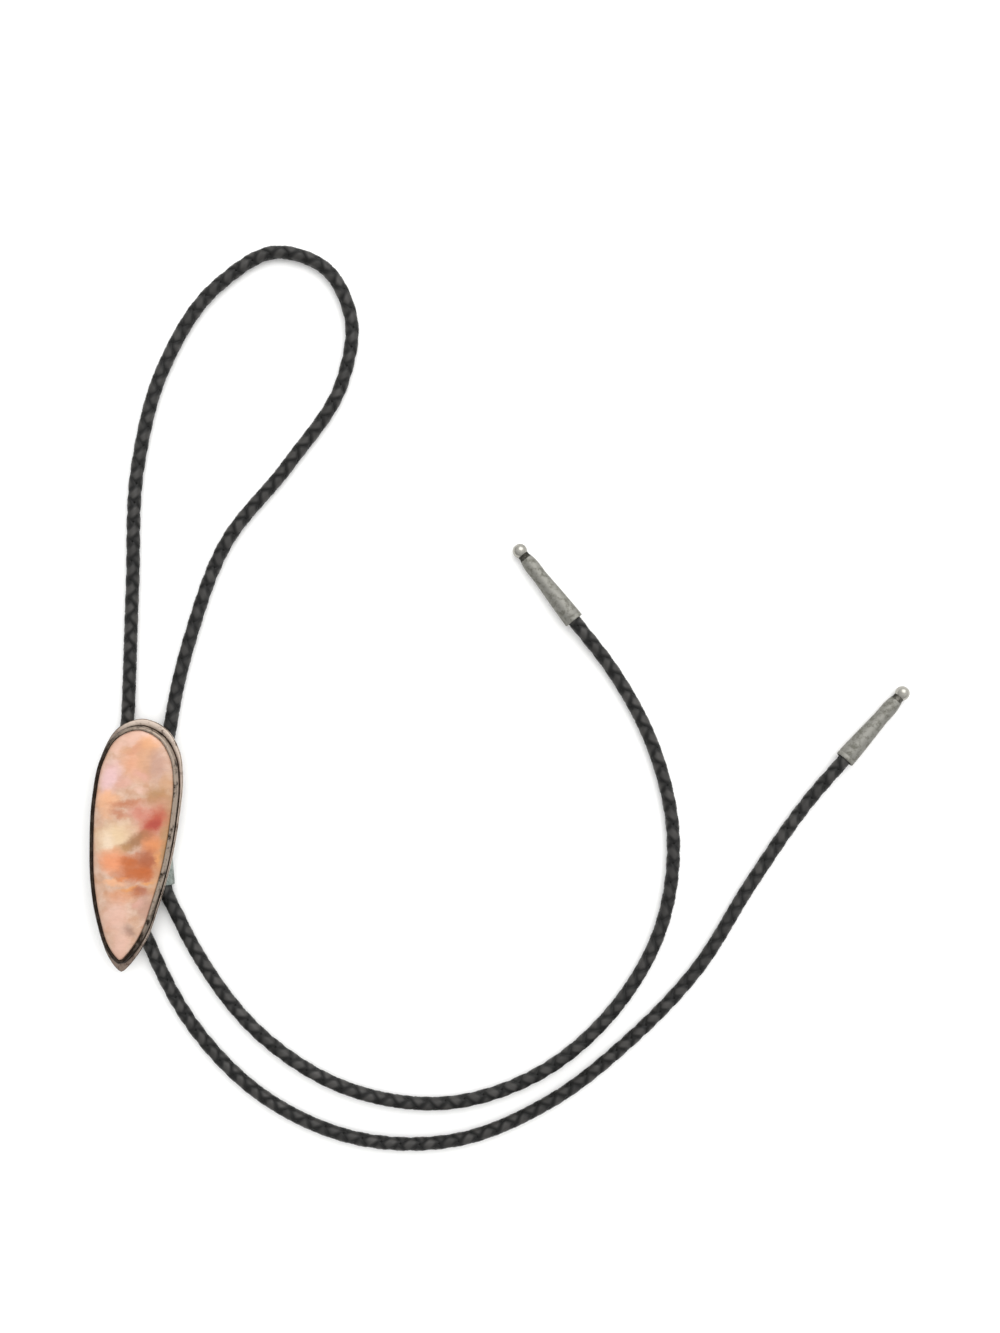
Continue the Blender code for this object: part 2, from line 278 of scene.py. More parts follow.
def new_material(name: str) -> tuple[bpy.types.Material, bpy.types.NodeTree, bpy.types.Node]:
    """Adds a material.

    Args:
        name: the material's name.

    Returns:
        The material, its tree and its Principled shader.
    """
    material = bpy.data.materials.new(name)
    material.use_nodes = True
    tree = material.node_tree
    return material, tree, tree.nodes["Principled BSDF"]


# Modelling by hand


def choose(piece: bpy.types.Object) -> None:
    """Selects only this piece and makes it active.

    Args:
        piece: the piece.
    """
    bpy.ops.object.select_all(action="DESELECT")
    piece.select_set(True)
    bpy.context.view_layer.objects.active = piece


@contextmanager
def editing(piece: bpy.types.Object, what: Pick) -> Iterator[None]:
    """Opens a piece in edit mode and closes it again.

    Args:
        piece: the piece.
        what: whether edges or faces are selected.

    Yields:
        Nothing, while the piece is open.
    """
    choose(piece)
    bpy.ops.object.mode_set(mode="EDIT")
    bpy.ops.mesh.select_mode(type=what.value)
    yield
    bpy.ops.object.mode_set(mode="OBJECT")


def pick_faces(piece: bpy.types.Object, test: Callable[[Vector, Vector], bool]) -> None:
    """Selects faces of the piece that is open in edit mode.

    Args:
        piece: the piece.
        test: says for a face's middle and normal whether it is wanted.
    """
    bpy.ops.mesh.select_all(action="DESELECT")
    mesh = bmesh.from_edit_mesh(piece.data)
    mesh.normal_update()
    for face in mesh.faces:
        face.select_set(test(face.calc_center_median(), face.normal))
    bmesh.update_edit_mesh(piece.data)


def pick_edges(piece: bpy.types.Object, test: Callable[[Vector], bool]) -> None:
    """Selects edges of the piece that is open in edit mode.

    Args:
        piece: the piece.
        test: says for a point whether it is in the wanted place. Both ends of an edge have to be.
    """
    bpy.ops.mesh.select_all(action="DESELECT")
    mesh = bmesh.from_edit_mesh(piece.data)
    for edge in mesh.edges:
        edge.select_set(all(test(vert.co) for vert in edge.verts))
    bmesh.update_edit_mesh(piece.data)


def pull(rise: float, stretch: float = 1.0, middle: tuple[float, float] = (0.0, 0.0)) -> None:
    """Extrudes what is selected along Z, and stretches the new end.

    Args:
        rise: how far the new end goes up.
        stretch: the new end's scale along X and Y.
        middle: where it is scaled about.
    """
    bpy.ops.mesh.extrude_region_move(TRANSFORM_OT_translate={"value": (0.0, 0.0, rise)})
    if stretch != 1.0:
        bpy.ops.transform.resize(value=(stretch, stretch, 1.0), center_override=(*middle, 0.0))


def close_up(piece: bpy.types.Object) -> None:
    """Merges doubled points and turns every face of a closed piece outwards.

    Args:
        piece: the piece.
    """
    with editing(piece, Pick.FACES):
        bpy.ops.mesh.select_all(action="SELECT")
        bpy.ops.mesh.remove_doubles(threshold=MERGE_DISTANCE)
        bpy.ops.mesh.normals_make_consistent(inside=False)


def smooth(piece: bpy.types.Object) -> None:
    """Shades a piece smooth, apart from its sharp edges."""
    choose(piece)
    bpy.ops.object.shade_smooth_by_angle(angle=SHARP_EDGE)


def settle(piece: bpy.types.Object, place: Matrix) -> None:
    """Puts a piece in its place and takes the place into its mesh.

    Args:
        piece: the piece, modelled at the origin.
        place: where it belongs.
    """
    piece.matrix_world = place
    choose(piece)
    bpy.ops.object.transform_apply(location=True, rotation=True, scale=True)


def cut(piece: bpy.types.Object, cutter: bpy.types.Object) -> None:
    """Cuts a piece with another, which is used up.

    Args:
        piece: the piece that stays.
        cutter: what is cut away.
    """
    choose(piece)
    modifier = piece.modifiers.new("cut", "BOOLEAN")
    modifier.operation = "DIFFERENCE"
    modifier.solver = "EXACT"
    modifier.object = cutter
    bpy.ops.object.modifier_apply(modifier=modifier.name)
    bpy.data.objects.remove(cutter)


def named(name: str) -> bpy.types.Object:
    """Names the primitive that has just been added, and its mesh.

    Args:
        name: the name.

    Returns:
        The primitive.
    """
    piece = bpy.context.active_object
    piece.name = name
    piece.data.name = name
    return piece


# Smooth lines


def hermite(
    start: np.ndarray, end: np.ndarray, start_slope: np.ndarray, end_slope: np.ndarray, count: int
) -> np.ndarray:
    """Reads points from a cubic.

    Args:
        start: its first point.
        end: its last point.
        start_slope: its slope at the start, for the whole stretch.
        end_slope: its slope at the end.
        count: how many points.

    Returns:
        The points, from start up to, but without, end.
    """
    t = np.linspace(0.0, 1.0, count, endpoint=False)[:, None]
    return (
        (2 * t**3 - 3 * t**2 + 1) * start
        + (t**3 - 2 * t**2 + t) * start_slope
        + (3 * t**2 - 2 * t**3) * end
        + (t**3 - t**2) * end_slope
    )


def spaced(line: np.ndarray, count: int) -> np.ndarray:
    """Reads evenly spaced points from a line.

    Args:
        line: the line's points.
        count: how many points to read, both ends included.

    Returns:
        The points.
    """
    travelled = np.concatenate([[0.0], np.cumsum(np.linalg.norm(np.diff(line, axis=0), axis=1))])
    stops = np.linspace(0.0, travelled[-1], count)
    return np.stack([np.interp(stops, travelled, line[:, axis]) for axis in range(line.shape[1])], axis=1)


def length_of(line: np.ndarray) -> float:
    """The length of a line of points."""
    return float(np.linalg.norm(np.diff(line, axis=0), axis=1).sum())


def unit(vector: np.ndarray) -> np.ndarray:
    """The direction of a vector, or of each vector of a row."""
    return vector / np.linalg.norm(vector, axis=-1, keepdims=True)


# Outlines of the slide


@dataclass(frozen=True)
class PackedOutline:
    """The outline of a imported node's flat underside, a long pointed oval, but drawn finer."""

    node: str
    points: int = 180
    steps_per_side: int = 6
    same_height: float = 0.00001
    # Corners that agree to this many decimals are one corner
    same_place_decimals: int = 6

    def packed_ring(self) -> np.ndarray:
        """Reads the ring of corners round the node's underside.

        Returns:
            One row of x and y for each corner, anticlockwise from above.
        """
        places = np.array([vert.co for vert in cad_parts[self.node].data.vertices])
        low = places[places[:, 2] < places[:, 2].min() + self.same_height, :2]
        ring = np.unique(np.round(low, self.same_place_decimals), axis=0)
        return ring[np.argsort(np.arctan2(ring[:, 1], ring[:, 0]))]

    def curve(self) -> np.ndarray:
        """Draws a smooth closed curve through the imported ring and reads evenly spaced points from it.

        Returns:
            One row of x and y for each point, anticlockwise from above.
        """
        ring = self.packed_ring()
        after = np.roll(ring, -1, axis=0)
        slopes = (after - np.roll(ring, 1, axis=0)) / 2
        sides = [
            hermite(ring[i], after[i], slopes[i], np.roll(slopes, -1, axis=0)[i], self.steps_per_side)
            for i in range(len(ring))
        ]
        closed = np.concatenate([*sides, ring[:1]])
        return spaced(closed, self.points + 1)[:-1]

    def middle(self) -> tuple[float, float]:
        """The middle of the box round the outline."""
        line = self.curve()
        return tuple(((line.max(axis=0) + line.min(axis=0)) / 2).tolist())

    def grown(self, distance: float) -> np.ndarray:
        """Moves the curve outwards.

        Args:
            distance: how far.

        Returns:
            One row of x and y for each point.
        """
        line = self.curve()
        along = unit(np.roll(line, -1, axis=0) - np.roll(line, 1, axis=0))
        return line + np.stack([along[:, 1], -along[:, 0]], axis=1) * distance

    def trace(self, piece: bpy.types.Object, distance: float) -> None:
        """Draws the corners of the selected face onto the curve, at the height that they have.

        Args:
            piece: the piece that is open in edit mode.
            distance: how far outside the curve they go.
        """
        mesh = bmesh.from_edit_mesh(piece.data)
        corners = [vert for vert in mesh.verts if vert.select]
        corners.sort(key=lambda vert: math.atan2(vert.co.y, vert.co.x))
        line = self.grown(distance)
        for vert, (x, y) in zip(corners, line[np.argsort(np.arctan2(line[:, 1], line[:, 0]))]):
            vert.co.x, vert.co.y = x, y
        bmesh.update_edit_mesh(piece.data)

    def disc(self, name: str, height: float) -> bpy.types.Object:
        """Adds a flat disc and draws its rim onto the curve.

        Args:
            name: the new piece's name.
            height: how high it lies.

        Returns:
            The disc.
        """
        bpy.ops.object.select_all(action="DESELECT")
        reach = float(self.curve()[:, 0].max())
        bpy.ops.mesh.primitive_circle_add(
            vertices=self.points, radius=reach, fill_type="NGON", location=(0.0, 0.0, height)
        )
        disc = named(name)
        bpy.ops.object.transform_apply(location=True, rotation=True, scale=True)
        with editing(disc, Pick.FACES):
            bpy.ops.mesh.select_all(action="SELECT")
            self.trace(disc, 0.0)
        return disc


# Finishes


class ShellHue(Enum):
    """The shell's own colours."""

    CREAM = "#D2B892"
    PALE_CREAM = "#D8C2AA"
    BLUSH = "#CEA594"
    COOL_PINK = "#D4AEB0"
    ROSE = "#C59182"
    DUSK = "#A67E6E"
    PEACH = "#CC9272"
    APRICOT = "#D8A078"
    TAN = "#B48862"
    OLIVE = "#986C38"
    GOLD = "#CC8A4C"
    ORANGE = "#C67840"
    SALMON = "#D4865A"
    TERRACOTTA = "#AA6642"
    CORAL = "#B86856"
    BURNT_ORANGE = "#A85008"
    RUST = "#944208"
    RED = "#A43C1C"
    DEEP_RED = "#962818"
    BROWN = "#865628"
    GREY_BROWN = "#8A6858"


class Patch(NamedTuple):
    """A soft oval patch of colour in the shell, in millimetres from the middle of the stone.

    Turn is in degrees, anticlockwise from above. Cover is how much of the colour below it hides.
    """

    x: float
    y: float
    half_width: float
    half_length: float
    turn: float
    hue: ShellHue
    cover: float


@dataclass(frozen=True)
class PolishedShell:
    """Orange shell, cut and polished: pink-white growth with peach clouds, an orange band and brown spots.

    Its layers show as soft clouds and as faint growth lines across the stone, under a satin gloss.
    """

    name: str = "polished_orange_shell"
    ground: str = "#B48A6E"
    pale: str = "#C4A692"
    # Laid over each other in this order, roughly from the round end down to the point
    patches: tuple[Patch, ...] = (
        Patch(1.5, 31.5, 7.0, 2.6, 0, ShellHue.BLUSH, 0.70),
        Patch(4.3, 29.4, 2.8, 2.0, -15, ShellHue.GOLD, 0.65),
        Patch(-4.6, 28.4, 2.0, 1.6, 20, ShellHue.BLUSH, 0.70),
        Patch(0.3, 28.0, 2.6, 1.3, 20, ShellHue.TERRACOTTA, 0.60),
        Patch(-1.8, 28.3, 1.5, 1.1, 10, ShellHue.TAN, 0.60),
        Patch(0.6, 24.0, 4.2, 4.4, 10, ShellHue.PEACH, 0.80),
        Patch(3.6, 24.2, 2.4, 4.6, 8, ShellHue.TAN, 0.50),
        Patch(2.8, 20.6, 2.2, 1.2, -20, ShellHue.ROSE, 0.70),
        Patch(-7.0, 19.6, 2.6, 4.6, -20, ShellHue.COOL_PINK, 0.80),
        Patch(-2.6, 18.6, 2.2, 1.5, 15, ShellHue.ROSE, 0.65),
        Patch(7.2, 23.5, 2.6, 5.0, 10, ShellHue.DUSK, 0.70),
        Patch(9.2, 18.6, 1.5, 2.4, -10, ShellHue.TAN, 0.70),
        Patch(3.0, 16.2, 2.4, 1.2, -10, ShellHue.BLUSH, 0.70),
        Patch(6.6, 14.8, 3.2, 2.6, -15, ShellHue.OLIVE, 0.80),
        Patch(9.3, 6.0, 2.4, 9.0, -8, ShellHue.OLIVE, 0.75),
        Patch(-7.2, 14.0, 3.2, 2.4, 0, ShellHue.APRICOT, 0.75),
        Patch(-7.4, 11.6, 2.2, 3.0, 0, ShellHue.APRICOT, 0.55),
        Patch(-1.8, 12.4, 4.4, 0.9, 6, ShellHue.TERRACOTTA, 0.80),
        Patch(-4.0, 9.7, 2.0, 1.1, -20, ShellHue.TERRACOTTA, 0.75),
        Patch(1.6, 10.0, 3.0, 1.8, 0, ShellHue.CORAL, 0.65),
        Patch(5.0, 7.8, 3.8, 5.8, -36, ShellHue.CORAL, 0.50),
        Patch(5.6, 7.4, 2.1, 4.2, -38, ShellHue.RED, 0.85),
        Patch(5.6, 6.4, 1.3, 2.2, -34, ShellHue.DEEP_RED, 0.70),
        Patch(-5.4, 3.0, 5.2, 3.8, 20, ShellHue.CREAM, 0.80),
        Patch(-7.6, 1.6, 1.8, 2.4, 0, ShellHue.PALE_CREAM, 0.80),
        Patch(4.4, 2.8, 2.8, 1.9, 20, ShellHue.TERRACOTTA, 0.65),
        Patch(0.7, 1.7, 3.8, 1.7, 32, ShellHue.BROWN, 0.80),
        Patch(-3.4, -0.7, 2.6, 1.0, 15, ShellHue.TAN, 0.65),
        Patch(-1.9, 0.2, 1.3, 1.0, 10, ShellHue.OLIVE, 0.60),
        Patch(5.4, 0.2, 2.5, 2.4, 0, ShellHue.ORANGE, 0.85),
        Patch(-5.6, -4.2, 3.9, 3.0, -10, ShellHue.SALMON, 0.92),
        Patch(-0.8, -4.1, 3.0, 2.1, 0, ShellHue.BURNT_ORANGE, 0.90),
        Patch(4.2, -4.2, 2.9, 3.3, 15, ShellHue.RUST, 0.90),
        Patch(7.0, -4.4, 0.9, 2.4, 0, ShellHue.GOLD, 0.85),
        Patch(0.8, -7.6, 5.2, 2.3, 4, ShellHue.BURNT_ORANGE, 0.90),
        Patch(3.8, -7.8, 3.0, 1.8, -14, ShellHue.BURNT_ORANGE, 0.80),
        Patch(8.6, -2.4, 1.2, 2.8, -8, ShellHue.OLIVE, 0.65),
        Patch(-3.4, -9.0, 1.6, 0.6, 10, ShellHue.ORANGE, 0.70),
        Patch(-6.2, -10.2, 2.8, 0.7, 0, ShellHue.APRICOT, 0.80),
        Patch(-1.4, -11.8, 2.6, 0.7, 6, ShellHue.GOLD, 0.85),
        Patch(4.8, -10.4, 1.9, 0.6, 0, ShellHue.GOLD, 0.80),
        Patch(2.0, -13.0, 2.8, 1.6, -10, ShellHue.RUST, 0.85),
        Patch(-3.8, -14.2, 4.0, 2.0, 0, ShellHue.ORANGE, 0.55),
        Patch(7.0, -9.8, 1.9, 5.2, -14, ShellHue.TAN, 0.60),
        Patch(-5.0, -20.0, 3.4, 4.4, -12, ShellHue.BLUSH, 0.80),
        Patch(3.6, -18.0, 2.6, 3.8, 18, ShellHue.DUSK, 0.75),
        Patch(1.2, -16.6, 1.4, 1.0, 20, ShellHue.ROSE, 0.60),
        Patch(-1.6, -24.4, 1.9, 1.7, 10, ShellHue.GREY_BROWN, 0.80),
        Patch(-4.2, -29.0, 2.4, 4.3, -10, ShellHue.BLUSH, 0.75),
    )
    # Half the width of a patch's soft edge, as a share of the patch's half width
    edge_softness: float = 0.72
    # Clouds a few millimetres across push the patches' edges about, by up to this many millimetres
    cloud_size: float = 5.0 * MM
    cloud_detail: float = 8.0
    cloud_push_mm: float = 2.8
    # How much of that is small clouds, which makes the edges ragged
    cloud_roughness: float = 0.68
    # Pale blotches in the ground colour
    blotch_mm: float = 2.8
    blotch_detail: float = 4.0
    blotch_range: tuple[float, float] = (0.34, 0.66)
    # Growth lines are about 0.1 mm apart in the shell and drawn 0.8 mm apart, so that they show
    growth_line_spacing: float = 0.8 * MM
    growth_line_stretch: float = 2.4
    growth_line_turn: float = math.radians(12.0)
    growth_line_detail: float = 3.0
    growth_line_waviness: float = 0.6
    growth_line_range: tuple[float, float] = (0.30, 0.70)
    growth_line_shades: tuple[float, float] = (0.94, 1.04)
    # Polishing leaves shallow ripples
    ripple_size: float = 1.6 * MM
    ripple_detail: float = 3.0
    ripple_strength: float = 0.12
    ripple_depth: float = 0.1 * MM
    roughness: float = 0.30
    refraction: float = 1.53

    def build(self) -> bpy.types.Material:
        """Makes the material.

        Returns:
            The material.
        """
        material, tree, shader = new_material(self.name)
        place = add_node(tree, "ShaderNodeTexCoord").outputs["Object"]
        colour = self.lay_patches(tree, self.push_about(tree, place))
        colour = self.add_growth_lines(tree, place, colour)
        tree.links.new(colour, shader.inputs["Base Color"])
        ripple = noise(tree, place, self.ripple_size, self.ripple_detail).outputs["Fac"]
        add_bump(tree, shader, ripple, self.ripple_strength, self.ripple_depth)
        shader.inputs["Roughness"].default_value = self.roughness
        shader.inputs["IOR"].default_value = self.refraction
        return material

    def push_about(self, tree: bpy.types.NodeTree, place: bpy.types.NodeSocket) -> bpy.types.NodeSocket:
        """Turns the place into millimetres, seen from above, and pushes it about by soft clouds.

        Args:
            tree: the material's tree.
            place: the place on the stone.

        Returns:
            The place that the patches are laid by.
        """
        in_mm = on_vectors(tree, "MULTIPLY", place, (1 / MM, 1 / MM, 0.0)).outputs[0]
        cloud = noise(tree, place, self.cloud_size, self.cloud_detail, Roughness=self.cloud_roughness)
        off_middle = on_vectors(tree, "SUBTRACT", cloud.outputs["Color"], (0.5, 0.5, 0.5)).outputs[0]
        reach = self.cloud_push_mm * 2
        push = on_vectors(tree, "MULTIPLY", off_middle, (reach, reach, 0.0)).outputs[0]
        return on_vectors(tree, "ADD", in_mm, push).outputs[0]

    def lay_patches(self, tree: bpy.types.NodeTree, place: bpy.types.NodeSocket) -> bpy.types.NodeSocket:
        """Lays every patch over the ground colour.

        Args:
            tree: the material's tree.
            place: the place on the stone in millimetres, pushed about by the clouds.

        Returns:
            The colour.
        """
        blotch = noise(tree, place, self.blotch_mm, self.blotch_detail).outputs["Fac"]
        paleness = ranged(tree, blotch, self.blotch_range)
        colour = mixed(tree, paleness, linear(self.ground), linear(self.pale))
        edge = (1.0 + self.edge_softness, 1.0 - self.edge_softness)
        for patch in self.patches:
            inside = add_node(
                tree,
                "ShaderNodeMapping",
                {
                    "Vector": place,
                    "Location": (patch.x, patch.y, 0.0),
                    "Rotation": (0.0, 0.0, math.radians(patch.turn)),
                    "Scale": (patch.half_width, patch.half_length, 1.0),
                },
                vector_type="TEXTURE",
            ).outputs[0]
            distance = on_vectors(tree, "LENGTH", inside).outputs["Value"]
            cover = ranged(tree, distance, edge, (0.0, patch.cover), soft=True)
            colour = mixed(tree, cover, colour, linear(patch.hue.value))
        return colour

    def add_growth_lines(
        self, tree: bpy.types.NodeTree, place: bpy.types.NodeSocket, colour: bpy.types.NodeSocket
    ) -> bpy.types.NodeSocket:
        """Lightens and darkens the colour in faint uneven lines across the stone.

        Args:
            tree: the material's tree.
            place: the place on the stone.
            colour: the colour so far.

        Returns:
            The colour.
        """
        along = 1 / self.growth_line_spacing
        across = along / self.growth_line_stretch
        in_lines = add_node(
            tree,
            "ShaderNodeMapping",
            {
                "Vector": place,
                "Rotation": (0.0, 0.0, self.growth_line_turn),
                "Scale": (across, along, across),
            },
        ).outputs[0]
        lines = noise(tree, in_lines, 1.0, self.growth_line_detail, Distortion=self.growth_line_waviness)
        shade = ranged(tree, lines.outputs["Fac"], self.growth_line_range, self.growth_line_shades)
        grey = add_node(tree, "ShaderNodeCombineColor", {0: shade, 1: shade, 2: shade}).outputs[0]
        return mixed(tree, 1.0, colour, grey, "MULTIPLY")


@dataclass(frozen=True)
class WornMetal:
    """A metal darkened by age and rubbed bright where hands and cloth reach it.

    The eye sees soft grey-brown clouds over a satin shine, with fine specks. It can also be painted darker
    towards the slide's left side and point, as shade.
    """

    name: str
    bright: str
    dark: str
    roughness: float
    # How much of the dark shows, from 0 to 1, and how much more painted shade lies on the slide's left side
    # and point, which face away from the light
    tarnish: float
    side_painted_shade: float = 0.0
    # The painted shade grows this way on the slide, between these two distances from its middle
    shade_way: tuple[float, float, float] = (-1.0, -0.12, 0.0)
    shade_range: tuple[float, float] = (-3 * MM, 5 * MM)
    cloud_size: float = 2.2 * MM
    cloud_detail: float = 5.0
    speck_size: float = 0.45 * MM
    speck_detail: float = 2.0
    # How strong the specks are beside the clouds
    speck_share: float = 0.35
    # How far the noise strays from its middle, and half the width of the edge between bright and dark
    noise_reach: float = 0.25
    edge_softness: float = 0.14
    extra_roughness_of_dark: float = 0.18
    dent_strength: float = 0.6
    dent_depth: float = 0.03 * MM

    def build(self) -> bpy.types.Material:
        """Makes the material.

        Returns:
            The material.
        """
        material, tree, shader = new_material(self.name)
        place = add_node(tree, "ShaderNodeTexCoord").outputs["Object"]
        cloud = noise(tree, place, self.cloud_size, self.cloud_detail).outputs["Fac"]
        speck = noise(tree, place, self.speck_size, self.speck_detail).outputs["Fac"]
        both = add_node(
            tree, "ShaderNodeMath", {0: speck, 1: self.speck_share, 2: cloud}, operation="MULTIPLY_ADD"
        ).outputs[0]
        middle = 0.5 * (1 + self.speck_share) + self.noise_reach * (1 - 2 * self.tarnish)
        cover = ranged(tree, both, (middle - self.edge_softness, middle + self.edge_softness), soft=True)
        # Painted shade: darker towards the slide's left side and point, away from the light
        if self.side_painted_shade:
            cover = self.add_painted_side_shade(tree, place, cover)
        colour = mixed(tree, cover, linear(self.bright), linear(self.dark))
        tree.links.new(colour, shader.inputs["Base Color"])
        rough = ranged(tree, cover, after=(self.roughness, self.roughness + self.extra_roughness_of_dark))
        tree.links.new(rough, shader.inputs["Roughness"])
        shader.inputs["Metallic"].default_value = 1.0
        add_bump(tree, shader, both, self.dent_strength, self.dent_depth)
        return material

    def add_painted_side_shade(
        self, tree: bpy.types.NodeTree, place: bpy.types.NodeSocket, cover: bpy.types.NodeSocket
    ) -> bpy.types.NodeSocket:
        """Adds painted shade that grows towards the slide's left side and its point, which face away from the
        light.

        Args:
            tree: the material's tree.
            place: the place on the metal.
            cover: how much of the dark shows so far.

        Returns:
            How much of the dark shows, tarnish and painted shade together.
        """
        leftwards = on_vectors(tree, "DOT_PRODUCT", place, self.shade_way).outputs["Value"]
        side_shade = ranged(tree, leftwards, self.shade_range, (0.0, self.side_painted_shade))
        total = add_node(tree, "ShaderNodeMath", {0: cover, 1: side_shade}, operation="ADD", use_clamp=True)
        return total.outputs[0]


# Silver sheet, blackened with sulphur and polished back: a soft tan grey with browner clouds where it is worn
# less, and painted shade darkening it towards the slide's left side and point
RUBBED_AND_SHADED_SHEET = WornMetal("rubbed_and_shaded_oxidised_silver_sheet", "#C2B3A6", "#69584E", 0.42, 0.22, 0.75)
# The bezel strip keeps more of the black: a dark brown grey, a little lighter where it is worn, and painted
# shade darkening it to nearly black towards the slide's left side and point
RUBBED_AND_SHADED_STRIP = WornMetal("rubbed_and_shaded_oxidised_bezel_strip", "#95877A", "#2B231D", 0.42, 0.34, 0.92)
# The same where no polishing reaches: the inside of the bezel and its foot, nearly black brown
BLACKENED_SILVER = WornMetal("blackened_silver_in_the_bezel", "#625349", "#2E251D", 0.5, 0.5)
# Pressed steel with thin nickel: a cool greenish grey, evenly dull
NICKEL_PLATE = WornMetal("nickel_plated_pressed_steel", "#8F9691", "#6F7671", 0.38, 0.35)
# Drawn and turned nickel silver, worn dull: an even mid grey with a soft streak of light
NICKEL_SILVER = WornMetal(
    "worn_nickel_silver", "#8A8983", "#7A7971", 0.60, 0.4, cloud_size=1.4 * MM, dent_depth=0.01 * MM
)
# The same in the turned neck, nearly black: dirt that stays there, and painted shade of the groove
DIRTY_AND_SHADED_NICKEL_SILVER = WornMetal("dirty_and_shaded_nickel_silver_in_the_neck", "#63615B", "#383732", 0.45, 0.6)
# The same on the ball, which everything rubs: bright, with a small clear reflection of the light
BRIGHT_NICKEL_SILVER = WornMetal(
    "rubbed_bright_nickel_silver", "#9E9C95", "#807E78", 0.24, 0.2, dent_depth=0.01 * MM
)


@dataclass(frozen=True)
class BlackLeather:
    """Cowhide lace, dyed black through and waxed.

    The crown of each lace, where it goes over another, is painted a soft grey as a highlight
    and is a little glossier. The rest is dull black.
    """

    name: str = "waxed_black_cowhide_lace"
    black: str = "#0C0C0B"
    # Painted highlight on the lace crowns, where the light catches them
    crown_highlight: str = "#3A3836"
    # Hide grain is 0.1 to 0.2 mm across and drawn at 0.35 mm, so that it shows
    grain_size: float = 0.35 * MM
    grain_detail: float = 3.0
    grain_strength: float = 0.5
    grain_depth: float = 0.05 * MM
    # The painted highlight starts and is full at these heights on a lace, from 0 at its edge to 1 on its
    # crown
    crown_range: tuple[float, float] = (0.25, 0.85)
    # Along some stretches of the cord the painted highlight is weaker, at random, down to this share
    stretch_size: float = 6 * MM
    stretch_detail: float = 2.0
    stretch_range: tuple[float, float] = (0.35, 0.65)
    least_highlight: float = 0.5
    dull: float = 0.50
    polished: float = 0.36
    dull_shine: float = 0.25
    polished_shine: float = 0.40
    highlight_attribute: str = "crown_highlight"

    def build(self) -> bpy.types.Material:
        """Makes the material.

        Returns:
            The material.
        """
        material, tree, shader = new_material(self.name)
        place = add_node(tree, "ShaderNodeTexCoord").outputs["Object"]
        highlight_share = self.highlight_share(tree, place)
        colour = mixed(tree, highlight_share, linear(self.black), linear(self.crown_highlight))
        tree.links.new(colour, shader.inputs["Base Color"])
        for name, start, end in (
            ("Roughness", self.dull, self.polished),
            ("Specular IOR Level", self.dull_shine, self.polished_shine),
        ):
            tree.links.new(ranged(tree, highlight_share, after=(start, end)), shader.inputs[name])
        grain = noise(tree, place, self.grain_size, self.grain_detail).outputs["Fac"]
        add_bump(tree, shader, grain, self.grain_strength, self.grain_depth)
        return material

    def highlight_share(self, tree: bpy.types.NodeTree, place: bpy.types.NodeSocket) -> bpy.types.NodeSocket:
        """Says how much of the painted grey highlight shows, on the crowns and more in some stretches than in
        others.

        Args:
            tree: the material's tree.
            place: the place on the leather.

        Returns:
            The share, from 0 to 1.
        """
        crown = add_node(tree, "ShaderNodeAttribute", attribute_name=self.highlight_attribute).outputs["Fac"]
        crown = ranged(tree, crown, self.crown_range, soft=True)
        stretch = noise(tree, place, self.stretch_size, self.stretch_detail).outputs["Fac"]
        stretch = ranged(tree, stretch, self.stretch_range, (self.least_highlight, 1.0))
        return add_node(tree, "ShaderNodeMath", {0: crown, 1: stretch}, operation="MULTIPLY").outputs[0]


@dataclass(frozen=True)
class PaleFloor:
    """Plain matt card, nearly white."""

    name: str = "plain_white_card"
    colour: str = "#FCFCFB"
    roughness: float = 0.9
    shine: float = 0.1

    def build(self) -> bpy.types.Material:
        """Makes the material.

        Returns:
            The material.
        """
        material, _, shader = new_material(self.name)
        shader.inputs["Base Color"].default_value = linear(self.colour)
        shader.inputs["Roughness"].default_value = self.roughness
        shader.inputs["Specular IOR Level"].default_value = self.shine
        return material


# The slide


